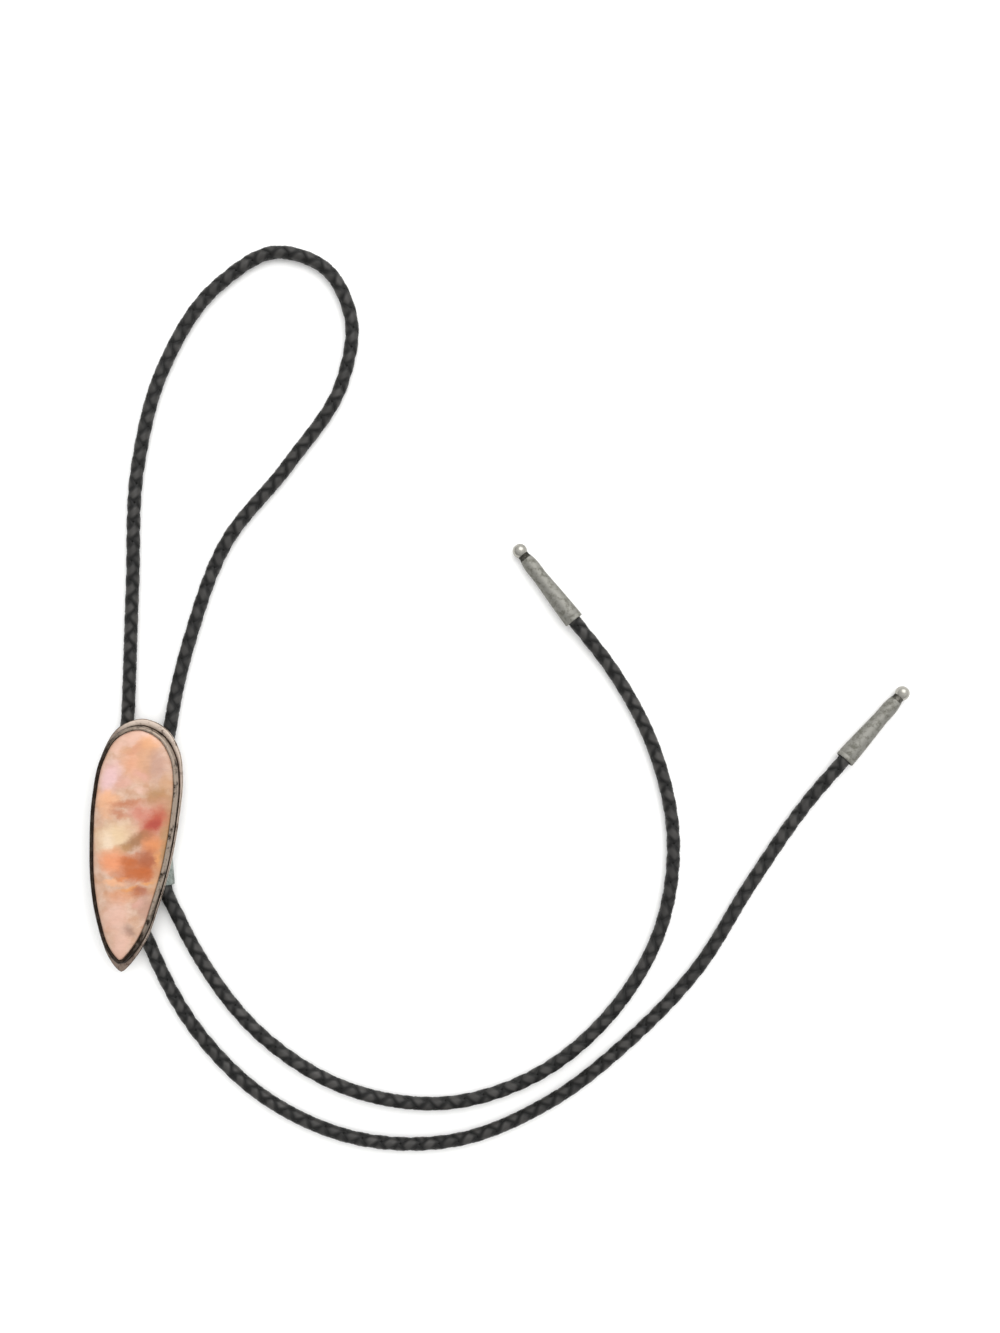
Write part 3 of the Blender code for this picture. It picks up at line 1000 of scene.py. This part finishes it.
@dataclass
class BezelSetting:
    """The silver setting: a backplate and, soldered on inside its edge, a bezel that leans over the stone."""

    plate: PackedOutline
    stone: PackedOutline
    node: str = "setting"
    name: str = "bezel_setting"
    wall: float = 0.0008
    gap: float = 0.0003
    lean: float = 0.00035
    rise_past_girdle: float = 0.0007
    # A blackened line lies along the bezel's foot, and reaches this far up its side
    foot_width: float = 0.00025
    foot_depth: float = 0.00008
    foot_rise: float = 0.0009
    rim_rounding: float = 0.00022
    plate_rounding: float = 0.00018
    rounding_steps: int = 3
    # Faces of the bezel's inside that point up less than this are black
    inside_tilt: float = 0.6

    def build(self) -> bpy.types.Object:
        """Models and dresses the setting.

        Returns:
            The setting.
        """
        bottom, top = (corner.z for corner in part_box(self.node))
        plate_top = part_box("cabochon")[0].z - self.gap
        setting = self.plate.disc(self.name, bottom)
        with editing(setting, Pick.FACES):
            bpy.ops.mesh.select_all(action="SELECT")
            pull(plate_top - bottom)
            self.round_off(self.plate_rounding)
            pick_faces(
                setting, lambda middle, normal: normal.z > FLAT and middle.z > plate_top - MERGE_DISTANCE
            )
            for distance, rise in self.rings(top, plate_top):
                pull(rise)
                self.stone.trace(setting, distance)
        close_up(setting)
        with editing(setting, Pick.EDGES):
            pick_edges(setting, lambda point: abs(point.z - top) < MERGE_DISTANCE)
            self.drop_spokes(setting)
            self.round_off(self.rim_rounding)
        self.dress(setting, plate_top)
        return setting

    def rings(self, top: float, plate_top: float) -> tuple[tuple[float, float], ...]:
        """Lists the rings of the bezel, from its foot over its rim and down to the floor under the stone.

        Args:
            top: the height of the rim.
            plate_top: the height of the backplate's upper face.

        Returns:
            For each ring its distance outside the stone and its rise from the ring before.
        """
        outside = self.gap + self.wall
        side = top - self.rise_past_girdle - plate_top
        return (
            (outside + self.foot_width, 0.0),
            (outside, -self.foot_depth),
            (outside, self.foot_depth + self.foot_rise),
            (outside, side - self.foot_rise),
            (outside - self.lean, self.rise_past_girdle),
            (self.gap - self.lean, 0.0),
            (self.gap, -self.rise_past_girdle),
            (self.gap, -side),
        )

    def drop_spokes(self, setting: bpy.types.Object) -> None:
        """Leaves out the edges that run across the rim, so that only its two loops stay selected.

        Args:
            setting: the setting, open in edit mode.
        """
        mesh = bmesh.from_edit_mesh(setting.data)
        for edge in mesh.edges:
            if edge.select and all(abs(face.normal.z) > FLAT for face in edge.link_faces):
                edge.select_set(False)
        bmesh.update_edit_mesh(setting.data)

    def round_off(self, width: float) -> None:
        """Rounds the selected loops."""
        bpy.ops.mesh.bevel(offset=width, segments=self.rounding_steps, profile=0.5, affect="EDGES")

    def dress(self, setting: bpy.types.Object, plate_top: float) -> None:
        """Gives the setting its metals: sheet, strip, and blackened metal where no polishing reaches.

        Args:
            setting: the setting.
            plate_top: the height of the backplate's upper face.
        """
        smooth(setting)
        for finish in (RUBBED_AND_SHADED_SHEET, RUBBED_AND_SHADED_STRIP, BLACKENED_SILVER):
            setting.data.materials.append(finish.build())
        with editing(setting, Pick.FACES):
            pick_faces(setting, lambda middle, normal: middle.z > plate_top + MERGE_DISTANCE)
            setting.active_material_index = 1
            bpy.ops.object.material_slot_assign()
            pick_faces(setting, lambda middle, normal: self.is_blackened(middle, normal, plate_top))
            setting.active_material_index = 2
            bpy.ops.object.material_slot_assign()

    def is_blackened(self, middle: Vector, normal: Vector, plate_top: float) -> bool:
        """Whether a face lies where no polishing reaches.

        Args:
            middle: the face's middle.
            normal: its normal.
            plate_top: the height of the backplate's upper face.

        Returns:
            Whether it does.
        """
        height = middle.z - plate_top
        is_foot = -self.foot_depth < height < self.foot_rise and height != 0.0 and abs(normal.z) < FLAT
        faces_stone = normal.x * middle.x + normal.y * middle.y < 0.0 and normal.z < self.inside_tilt
        is_floor = abs(height) < MERGE_DISTANCE and normal.z > FLAT and middle.xy.length < self.wall
        return height > -self.foot_depth and (is_foot or faces_stone or is_floor)


@dataclass
class ShellStone:
    """The cabochon: a flat base, an upright girdle and a low dome."""

    outline: PackedOutline
    node: str = "cabochon"
    name: str = "shell_cabochon"
    dome_height: float = 0.0027
    dome_rings: int = 14
    # The last ring is this share of a step from the top
    last_step: float = 0.35
    base_rounding: float = 0.0002
    rounding_steps: int = 2

    def build(self) -> bpy.types.Object:
        """Models and dresses the stone.

        Returns:
            The stone.
        """
        bottom, top = (corner.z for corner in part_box(self.node))
        girdle_top = top - self.dome_height
        stone = self.outline.disc(self.name, bottom)
        with editing(stone, Pick.FACES):
            bpy.ops.mesh.select_all(action="SELECT")
            pull(girdle_top - bottom)
            for step in range(self.dome_rings):
                here, there = (self.dome_place(step + i) for i in (0, 1))
                pull(there[1] - here[1], there[0] / here[0], self.outline.middle())
            bpy.ops.mesh.merge(type="CENTER")
        close_up(stone)
        with editing(stone, Pick.EDGES):
            pick_edges(stone, lambda point: abs(point.z - bottom) < MERGE_DISTANCE)
            bpy.ops.mesh.bevel(offset=self.base_rounding, segments=self.rounding_steps, affect="EDGES")
        smooth(stone)
        stone.data.materials.append(PolishedShell().build())
        return stone

    def dome_place(self, step: int) -> tuple[float, float]:
        """Where a ring of the dome is.

        Args:
            step: the ring's number, from 0 at the girdle.

        Returns:
            Its reach as a share of the girdle's, and its height above the girdle.
        """
        angle = math.pi / 2 * step / (self.dome_rings + self.last_step)
        return math.cos(angle), self.dome_height * math.sin(angle)


@dataclass
class SlideClip:
    """The plain clip behind the setting, with a channel for each run of the cord."""

    node: str = "cord_clip"
    name: str = "slide_clip"
    length: float = 0.022
    wall: float = 0.0005
    spacing: float = 0.0105
    bore_radius: float = 0.0023
    x: float = 0.0014
    y: float = -0.0014
    turn: float = math.radians(5.0)
    sides: int = 40
    # The sides are a hair less than half round, so that their two bends don't meet
    side_roundness: float = 0.999
    edge_rounding: float = 0.00012
    rounding_steps: int = 2
    rounded_from: float = math.radians(50.0)
    # How far each cutter stands out past the clip's ends
    past_end: float = 0.002

    @property
    def outer_radius(self) -> float:
        """The radius of the clip's rounded sides, which is also the height of its channels."""
        return self.bore_radius + self.wall

    def place(self) -> Matrix:
        """Where the clip is, with its own Y axis along the channels and its underside on the surface."""
        return Matrix.Translation((self.x, self.y, 0.0)) @ Matrix.Rotation(self.turn, 4, "Z")

    def channel(self, side: int) -> list[np.ndarray]:
        """The two ends of a channel's axis.

        Args:
            side: -1 for the left channel, 1 for the right one.

        Returns:
            The end nearer the stone's point, and the other end.
        """
        x, half = side * self.spacing / 2, self.length / 2
        return [np.array(self.place() @ Vector((x, y, self.outer_radius))) for y in (-half, half)]

    def rod(self, x: float, radius: float) -> bpy.types.Object:
        """Adds a round rod along the clip, longer than the clip.

        Args:
            x: how far its axis is from the clip's middle.
            radius: its radius.

        Returns:
            The rod.
        """
        bpy.ops.object.select_all(action="DESELECT")
        bpy.ops.mesh.primitive_cylinder_add(
            vertices=self.sides,
            radius=radius,
            depth=self.length + 2 * self.past_end,
            location=(x, 0.0, self.outer_radius),
            rotation=(math.pi / 2, 0.0, 0.0),
        )
        return bpy.context.active_object

    def block(self, width: float, length: float, height: float) -> bpy.types.Object:
        """Adds a box whose middle is at the height of the channels.

        Args:
            width: its size across the channels.
            length: its size along them.
            height: its size upwards.

        Returns:
            The box.
        """
        bpy.ops.object.select_all(action="DESELECT")
        bpy.ops.mesh.primitive_cube_add(
            size=1.0, location=(0.0, 0.0, self.outer_radius), scale=(width, length, height)
        )
        box = bpy.context.active_object
        bpy.ops.object.transform_apply(location=True, rotation=True, scale=True)
        return box

    def build(self) -> bpy.types.Object:
        """Models and dresses the clip.

        Returns:
            The clip.
        """
        radius, half = self.outer_radius, self.spacing / 2
        self.block(self.spacing + 2 * radius, self.length, 2 * radius)
        clip = named(self.name)
        with editing(clip, Pick.EDGES):
            mesh = bmesh.from_edit_mesh(clip.data)
            for edge in mesh.edges:
                first, second = (vert.co for vert in edge.verts)
                edge.select_set(abs(first.y - second.y) > half)
            bmesh.update_edit_mesh(clip.data)
            rounding = radius * self.side_roundness
            bpy.ops.mesh.bevel(offset=rounding, segments=self.sides // 4, profile=0.5, affect="EDGES")
        window = self.block(self.spacing, self.length + 2 * self.past_end, 2 * (radius - self.wall))
        for side in (-1, 1):
            cut(window, self.rod(side * half, radius))
        cut(clip, window)
        for side in (-1, 1):
            cut(clip, self.rod(side * half, self.bore_radius))
        close_up(clip)
        choose(clip)
        modifier = clip.modifiers.new("soft_edges", "BEVEL")
        modifier.width = self.edge_rounding
        modifier.segments = self.rounding_steps
        modifier.limit_method = "ANGLE"
        modifier.angle_limit = self.rounded_from
        bpy.ops.object.modifier_apply(modifier=modifier.name)
        settle(clip, self.place())
        smooth(clip)
        clip.data.materials.append(NICKEL_PLATE.build())
        return clip


# The cord and its tips


@dataclass
class CordTip:
    """A tapered metal tip with a socket for the cord and a ball end, lying on its rim and its ball."""

    node: str
    name: str
    mouth: tuple[float, float]
    heading: float
    length: float = 0.0281
    mouth_radius: float = 0.0029
    bore_radius: float = 0.0023
    socket_depth: float = 0.007
    rim_length: float = 0.0011
    neck_radius: float = 0.0016
    neck_length: float = 0.0008
    ball_radius: float = 0.00215
    seat_gap: float = 0.0003
    groove_depth: float = 0.0001
    groove_width: float = 0.0004
    lip_rounding: float = 0.0002
    rounding_steps: int = 3
    sides: int = 48
    ball_steps: int = 12
    taper_steps: int = 5
    # Shares of the length from the mouth, and of the mouth's radius
    taper: tuple[tuple[float, float], ...] = ((0.29, 0.90), (0.56, 0.76), (0.81, 0.65))
    # How far the neck's dirt and painted shade reach over the ball, as a share of the ball's radius
    neck_dark_on_ball: float = 1 / 3

    def tilt(self) -> float:
        """Works out how far the tip points down, lying on its rim and its ball.

        Returns:
            The angle.
        """
        rim_to_ball = self.length - self.ball_radius - self.rim_length
        reach = math.hypot(rim_to_ball, self.mouth_radius)
        return math.atan2(self.mouth_radius, rim_to_ball) - math.asin(self.ball_radius / reach)

    def place(self) -> Matrix:
        """Works out where the tip is.

        Returns:
            Its place, with its own X axis from the middle of its mouth to its ball.
        """
        tilt = self.tilt()
        height = self.mouth_radius * math.cos(tilt) + self.rim_length * math.sin(tilt)
        turned = Matrix.Rotation(self.heading, 4, "Z") @ Matrix.Rotation(tilt, 4, "Y")
        return Matrix.Translation((*self.mouth, height)) @ turned

    def run(self) -> list[np.ndarray]:
        """Where the cord ends in the tip, and the middle of the tip's mouth."""
        seat = Vector((self.socket_depth - self.seat_gap, 0.0, 0.0))
        return [np.array(self.place() @ point) for point in (seat, Vector())]

    def profile(self) -> list[tuple[float, float]]:
        """Half the lengthwise section of the outside.

        Returns:
            Distances from the mouth and radii, from the lip to the last ring of the ball.
        """
        ball_middle = self.length - self.ball_radius
        neck_angle = math.asin(self.neck_radius / self.ball_radius)
        neck_end = ball_middle - self.ball_radius * math.cos(neck_angle)
        groove_end = self.rim_length + self.groove_width
        stations = [(groove_end, self.mouth_radius)]
        stations += [(along * self.length, share * self.mouth_radius) for along, share in self.taper]
        stations.append((neck_end - self.neck_length, self.neck_radius))
        taper = np.array(stations)
        slopes = np.gradient(taper[:, 1], taper[:, 0])
        points = [
            (0.0, self.mouth_radius),
            (self.rim_length, self.mouth_radius),
            (self.rim_length + self.groove_width / 2, self.mouth_radius - self.groove_depth),
        ]
        for i, (start, end) in enumerate(zip(taper, taper[1:])):
            gap = end[0] - start[0]
            slope_pair = (np.array((gap, slopes[j] * gap)) for j in (i, i + 1))
            points += [tuple(point) for point in hermite(start, end, *slope_pair, self.taper_steps)]
        points.append(tuple(taper[-1]))
        for step in range(self.ball_steps):
            angle = (math.pi - neck_angle) * (1 - step / self.ball_steps)
            along, radius = self.ball_radius * math.cos(angle), self.ball_radius * math.sin(angle)
            points.append((ball_middle + along, radius))
        return points

    def build(self, metals: tuple[bpy.types.Material, ...]) -> bpy.types.Object:
        """Models the tip upright, mouth down, dresses it and lays it in its place.

        Args:
            metals: of its body, its neck and its ball.

        Returns:
            The tip.
        """
        bpy.ops.object.select_all(action="DESELECT")
        bpy.ops.mesh.primitive_circle_add(
            vertices=self.sides,
            radius=self.bore_radius,
            fill_type="NOTHING",
            location=(0.0, 0.0, self.socket_depth),
        )
        tip = named(self.name)
        bpy.ops.object.transform_apply(location=True, rotation=True, scale=True)
        with editing(tip, Pick.EDGES):
            bpy.ops.mesh.select_all(action="SELECT")
            along, radius = self.socket_depth, self.bore_radius
            for next_along, next_radius in [(0.0, self.bore_radius), *self.profile()]:
                pull(next_along - along, next_radius / radius)
                along, radius = next_along, next_radius
            bpy.ops.mesh.merge(type="CENTER")
            self.pick_ring(tip, self.socket_depth, self.bore_radius)
            bpy.ops.mesh.edge_face_add()
            for radius in (self.bore_radius, self.mouth_radius):
                self.pick_ring(tip, 0.0, radius)
                bpy.ops.mesh.bevel(
                    offset=self.lip_rounding, segments=self.rounding_steps, affect="EDGES"
                )
        close_up(tip)
        self.dress(tip, metals)
        settle(tip, self.place() @ Matrix.Rotation(math.pi / 2, 4, "Y"))
        smooth(tip)
        return tip

    def dress(self, tip: bpy.types.Object, metals: tuple[bpy.types.Material, ...]) -> None:
        """Gives the upright tip its metals.

        Args:
            tip: the tip, still upright.
            metals: of its body, its neck and its ball.
        """
        # The neck's dark metal is dirt and painted shade of the groove
        ball_start = self.length - 2 * self.ball_radius
        starts = (ball_start - self.neck_length, ball_start + self.neck_dark_on_ball * self.ball_radius)
        for metal in metals:
            tip.data.materials.append(metal)
        with editing(tip, Pick.FACES):
            for index, start in enumerate(starts, start=1):
                pick_faces(tip, lambda middle, normal: middle.z > start)
                tip.active_material_index = index
                bpy.ops.object.material_slot_assign()

    def pick_ring(self, tip: bpy.types.Object, along: float, radius: float) -> None:
        """Selects a ring of the upright tip's edges.

        Args:
            tip: the tip, still upright and open in edit mode.
            along: how far the ring is from the mouth.
            radius: its radius.
        """
        pick_edges(
            tip,
            lambda point: abs(point.z - along) < MERGE_DISTANCE
            and abs(point.xy.length - radius) < MERGE_DISTANCE,
        )


@dataclass
class BraidedCord:
    """One round cord of four flat leather laces, from its seat in one tip to its seat in the other.

    Two laces wind to the right and two to the left. Where they meet, one pair goes over
    on two sides of the cord and the other pair a quarter of a turn further on.
    """

    clip: SlideClip
    inner_tip: CordTip
    outer_tip: CordTip
    node: str = "braided_cord"
    name: str = "braided_leather_cord"
    diameter: float = 0.004
    rest_height: float = 0.00205
    steps_per_stretch: int = 24
    pitch: float = 0.0114
    rings_per_pitch: int = 26
    # The braid turns slowly as the cord lies, once in this length
    slow_turn_length: float = 0.31
    # A lace reaches this far to each side of its middle, as an angle round the cord
    lace_reach: float = math.radians(94.0)
    lace_thickness: float = 0.00095
    # How far a lace rises over and dips under the laces that it crosses, and how suddenly
    swing: float = 0.00016
    swing_steepness: float = 2.4
    # How far the highest laces stand out past the cord's measured thickness
    fullness: float = 0.000045
    # Corners of a lace cut across, as shares of its reach: on its outer face, then back on its inner one
    outer_corners: tuple[float, ...] = (-0.97, -0.75, -0.3, 0.3, 0.75, 0.97)
    inner_corners: tuple[float, ...] = (0.6, -0.6)
    # The power that a lace's thickness falls off by across it: the higher, the squarer its edges
    lace_squareness: int = 6
    core_radius: float = 0.0011
    core_sides: int = 8
    # How many times fewer rings the core has
    core_coarseness: int = 3
    fine_points: int = 6000

    def smooth_run(
        self,
        start: np.ndarray,
        start_way: np.ndarray,
        route: tuple[tuple[float, float], ...],
        end: np.ndarray,
        end_way: np.ndarray,
    ) -> np.ndarray:
        """Draws a smooth line along the route.

        Args:
            start: its first point.
            start_way: its direction there.
            route: the points on the surface that it passes through.
            end: its last point.
            end_way: its direction there.

        Returns:
            The line's points, both ends included.
        """
        points = [start] + [np.array((x, y, self.rest_height)) for x, y in route] + [end]
        slopes = [start_way]
        for before, here, after in zip(points, points[1:], points[2:]):
            gap_before, gap_after = np.linalg.norm(here - before), np.linalg.norm(after - here)
            way = (here - before) / gap_before * gap_after + (after - here) / gap_after * gap_before
            way[2] = 0.0
            slopes.append(way / (gap_before + gap_after))
        slopes.append(end_way)
        stretches = []
        for i, (here, after) in enumerate(zip(points, points[1:])):
            gap = np.linalg.norm(after - here)
            bends = slopes[i] * gap, slopes[i + 1] * gap
            stretches.append(hermite(here, after, *bends, self.steps_per_stretch))
        return np.concatenate([*stretches, end[None, :]])

    def line(self) -> np.ndarray:
        """Draws the cord's centreline, from its seat in the inner tip to its seat in the outer one.

        Returns:
            Its points.
        """
        inner_seat, inner_mouth = self.inner_tip.run()
        outer_seat, outer_mouth = self.outer_tip.run()
        right_low, right_high = self.clip.channel(1)
        left_low, left_high = self.clip.channel(-1)
        up = unit(right_high - right_low)
        inner_way, outer_way = unit(inner_mouth - inner_seat), unit(outer_seat - outer_mouth)
        inner = self.smooth_run(inner_mouth, inner_way, INNER_TAIL_ROUTE, right_low, up)
        neck = self.smooth_run(right_high, up, NECK_LOOP_ROUTE, left_high, -up)
        outer = self.smooth_run(left_low, -up, OUTER_TAIL_ROUTE, outer_mouth, outer_way)
        return np.concatenate([inner_seat[None, :], inner, neck, outer, outer_seat[None, :]])

    def around(
        self, line: np.ndarray, place: np.ndarray, angle: np.ndarray, radius: np.ndarray
    ) -> np.ndarray:
        """Finds points round the cord.

        Args:
            line: the cord's centreline, evenly spaced.
            place: how far along the cord each point is.
            angle: how far round the cord it is, from its top.
            radius: how far from the centreline it is.

        Returns:
            The points, in the shape of place with a last axis of x, y and z.
        """
        ways = unit(np.gradient(line, axis=0))
        up = unit(np.array((0.0, 0.0, 1.0)) - ways * ways[:, 2:])
        side = np.cross(ways, up)
        travelled = np.linspace(0.0, length_of(line), len(line))
        centre, up, side = (
            np.stack([np.interp(place, travelled, axis) for axis in vectors.T], axis=-1)
            for vectors in (line, up, side)
        )
        turned = angle + 2 * math.pi * place / self.slow_turn_length
        outwards = np.cos(turned)[..., None] * up + np.sin(turned)[..., None] * side
        return centre + radius[..., None] * outwards

    def lace(self, line: np.ndarray, hand: Hand, number: int) -> tuple[np.ndarray, np.ndarray]:
        """Winds one lace round the cord's centreline.

        Args:
            line: the centreline, evenly spaced.
            hand: which way the lace winds.
            number: 0 or 1, for the lace and its twin on the other side of the cord.

        Returns:
            The lace's rings of corners, and for each corner how much painted highlight it gets, from 0 to 1.
        """
        length, way = length_of(line), hand.value
        full_run = 4 * math.pi * length / self.pitch
        count = int(length / self.pitch * self.rings_per_pitch)
        run = np.linspace(-self.lace_reach, full_run + self.lace_reach, count)[:, None]
        run = run + way * math.pi * number
        share = np.array(self.outer_corners + self.inner_corners)[None, :]
        is_outer = np.array([1.0] * len(self.outer_corners) + [-1.0] * len(self.inner_corners))[None, :]
        across = math.pi * number + self.lace_reach * share
        place = np.clip((run - way * across) * self.pitch / (4 * math.pi), 0.0, length)
        angle = (across + way * run) / 2
        weave = np.tanh(self.swing_steepness * np.cos(across) * np.cos(run))
        weave = weave / math.tanh(self.swing_steepness)
        half_thickness = self.lace_thickness / 2 * np.sqrt(1.0 - np.abs(share) ** self.lace_squareness)
        middle_radius = self.diameter / 2 + self.fullness - self.lace_thickness / 2 - self.swing
        radius = middle_radius + way * self.swing * weave + is_outer * half_thickness
        # Painted highlight: full on the middle of a lace's outer face where it goes over, none on its inner
        # face
        crown_highlight = np.where(is_outer > 0.0, 1.0 - np.abs(share), 0.0) * (1.0 + way * weave) / 2
        return self.around(line, place, angle, radius), crown_highlight

    def core(self, line: np.ndarray) -> tuple[np.ndarray, np.ndarray]:
        """Draws the plain core that the laces lie on.

        Args:
            line: the centreline, evenly spaced.

        Returns:
            The core's rings of corners, and a 0 for each corner, which gets no painted highlight.
        """
        length = length_of(line)
        count = int(length / self.pitch * self.rings_per_pitch / self.core_coarseness)
        place = np.tile(np.linspace(0.0, length, count)[:, None], (1, self.core_sides))
        angle = np.tile(2 * math.pi * np.arange(self.core_sides) / self.core_sides, (count, 1))
        rings = self.around(line, place, angle, np.full_like(place, self.core_radius))
        return rings, np.zeros(place.shape)

    def build(self) -> bpy.types.Object:
        """Winds the four laces and dresses the cord.

        Returns:
            The cord.
        """
        line = spaced(self.line(), self.fine_points)
        tubes = [self.lace(line, hand, number) for hand in Hand for number in (0, 1)]
        tubes.append(self.core(line))
        corners, faces, highlight_shares = [], [], []
        for rings, highlight_share in tubes:
            faces += tube_faces(rings.shape[0], rings.shape[1], sum(len(part) for part in corners))
            corners.append(rings.reshape(-1, 3))
            highlight_shares.append(highlight_share.reshape(-1))
        mesh = bpy.data.meshes.new(self.name)
        mesh.from_pydata(np.concatenate(corners).tolist(), [], faces)
        leather = BlackLeather()
        highlight_data = mesh.attributes.new(leather.highlight_attribute, "FLOAT", "POINT").data
        highlight_data.foreach_set("value", np.concatenate(highlight_shares).astype(np.float32))
        cord = bpy.data.objects.new(self.name, mesh)
        bpy.context.scene.collection.objects.link(cord)
        close_up(cord)
        choose(cord)
        bpy.ops.object.shade_smooth()
        cord.data.materials.append(leather.build())
        return cord


def tube_faces(rings: int, sides: int, first: int) -> list[tuple[int, ...]]:
    """Lists the faces of a closed tube whose corners are numbered ring by ring.

    Args:
        rings: how many rings it has.
        sides: how many corners each ring has.
        first: the number of its first corner.

    Returns:
        The corners' numbers, for each face.
    """
    faces: list[tuple[int, ...]] = []
    for ring in range(rings - 1):
        here = first + ring * sides
        for side in range(sides):
            after = (side + 1) % sides
            faces.append((here + side, here + after, here + sides + after, here + sides + side))
    last = first + (rings - 1) * sides
    faces.append(tuple(range(first + sides - 1, first - 1, -1)))
    faces.append(tuple(range(last, last + sides)))
    return faces


# Floor, lights and camera


@dataclass
class Studio:
    """A plain pale floor under soft light from all round, seen from straight above."""

    floor_size: float = 6.0
    camera_place: tuple[float, float, float] = (0.10583, 0.0521, 0.5)
    # Distance from lens to picture in pixels, and the picture's long side
    focal_pixels: float = 1693.9
    long_side_pixels: float = 1333.0
    sensor_width_mm: float = 36.0
    sky_colour: str = "#FFFFFF"
    # The room is brightest this way, up and towards the slide's top right, and dimmest opposite it
    bright_way: tuple[float, float, float] = (0.35, 0.50, 0.79)
    middle_strength: float = 0.85
    bright_strength: float = 0.60
    lamp_size: float = 1.2
    lamp_power: float = 8.5
    lamp_place: tuple[float, float, float] = (0.45, 0.80, 1.0)

    def add_floor(self) -> None:
        """Adds the floor."""
        bpy.ops.object.select_all(action="DESELECT")
        bpy.ops.mesh.primitive_plane_add(size=self.floor_size)
        floor = named("floor")
        floor.data.materials.append(PaleFloor().build())

    def add_light(self) -> None:
        """Adds a soft white room, brighter on one side, and one large soft lamp there."""
        scene = bpy.context.scene
        world = bpy.data.worlds.new("soft_white_room")
        world.use_nodes = True
        tree = world.node_tree
        background = tree.nodes["Background"]
        background.inputs["Color"].default_value = linear(self.sky_colour)
        way = add_node(tree, "ShaderNodeTexCoord").outputs["Generated"]
        towards = on_vectors(tree, "DOT_PRODUCT", way, self.bright_way).outputs["Value"]
        strength = add_node(
            tree,
            "ShaderNodeMath",
            {0: towards, 1: self.bright_strength, 2: self.middle_strength},
            operation="MULTIPLY_ADD",
        ).outputs[0]
        tree.links.new(strength, background.inputs["Strength"])
        scene.world = world
        scene.view_settings.view_transform = "Standard"
        bpy.ops.object.light_add(type="AREA", location=self.lamp_place)
        lamp = bpy.context.active_object
        lamp.data.size = self.lamp_size
        lamp.data.energy = self.lamp_power
        aim = Vector(self.camera_place) * Vector((1.0, 1.0, 0.0)) - Vector(self.lamp_place)
        lamp.rotation_euler = aim.to_track_quat("-Z", "Y").to_euler()

    def add_camera(self) -> None:
        """Adds the camera, straight above the picture's middle."""
        camera = bpy.data.cameras.new("camera")
        camera.sensor_width = self.sensor_width_mm
        camera.lens = self.focal_pixels * self.sensor_width_mm / self.long_side_pixels
        stand = bpy.data.objects.new("camera", camera)
        stand.location = self.camera_place
        bpy.context.scene.collection.objects.link(stand)
        bpy.context.scene.camera = stand

    def build(self) -> None:
        """Adds everything round the object."""
        self.add_camera()
        self.add_floor()
        self.add_light()


# Putting it together


def present(piece: bpy.types.Object, node: str) -> bpy.types.Object:
    """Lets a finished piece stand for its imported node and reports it.

    Args:
        piece: the piece.
        node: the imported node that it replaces.

    Returns:
        The piece.
    """
    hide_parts(node)
    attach(piece, "root")
    log.info("%s stands for %s: %d faces", piece.name, node, len(piece.data.polygons))
    return piece


def main() -> None:
    """Builds the bolo tie and the studio round it."""
    logging.basicConfig(level=logging.INFO, format="%(message)s")
    Studio().build()
    clip = SlideClip()
    inner = CordTip("tip_inner", "inner_cord_tip", INNER_TIP_MOUTH, INNER_TIP_HEADING)
    outer = CordTip("tip_outer", "outer_cord_tip", OUTER_TIP_MOUTH, OUTER_TIP_HEADING)
    finishes = (NICKEL_SILVER, DIRTY_AND_SHADED_NICKEL_SILVER, BRIGHT_NICKEL_SILVER)
    metals = tuple(finish.build() for finish in finishes)
    tips = [present(tip.build(metals), tip.node) for tip in (inner, outer)]
    braid = BraidedCord(clip, inner, outer)
    line = braid.line()
    cord = present(braid.build(), braid.node)
    present(clip.build(), clip.node)
    setting = BezelSetting(PackedOutline("setting"), PackedOutline("cabochon"))
    present(setting.build(), setting.node)
    stone = ShellStone(PackedOutline("cabochon"))
    present(stone.build(), stone.node)


if __name__ == "__main__":
    main()
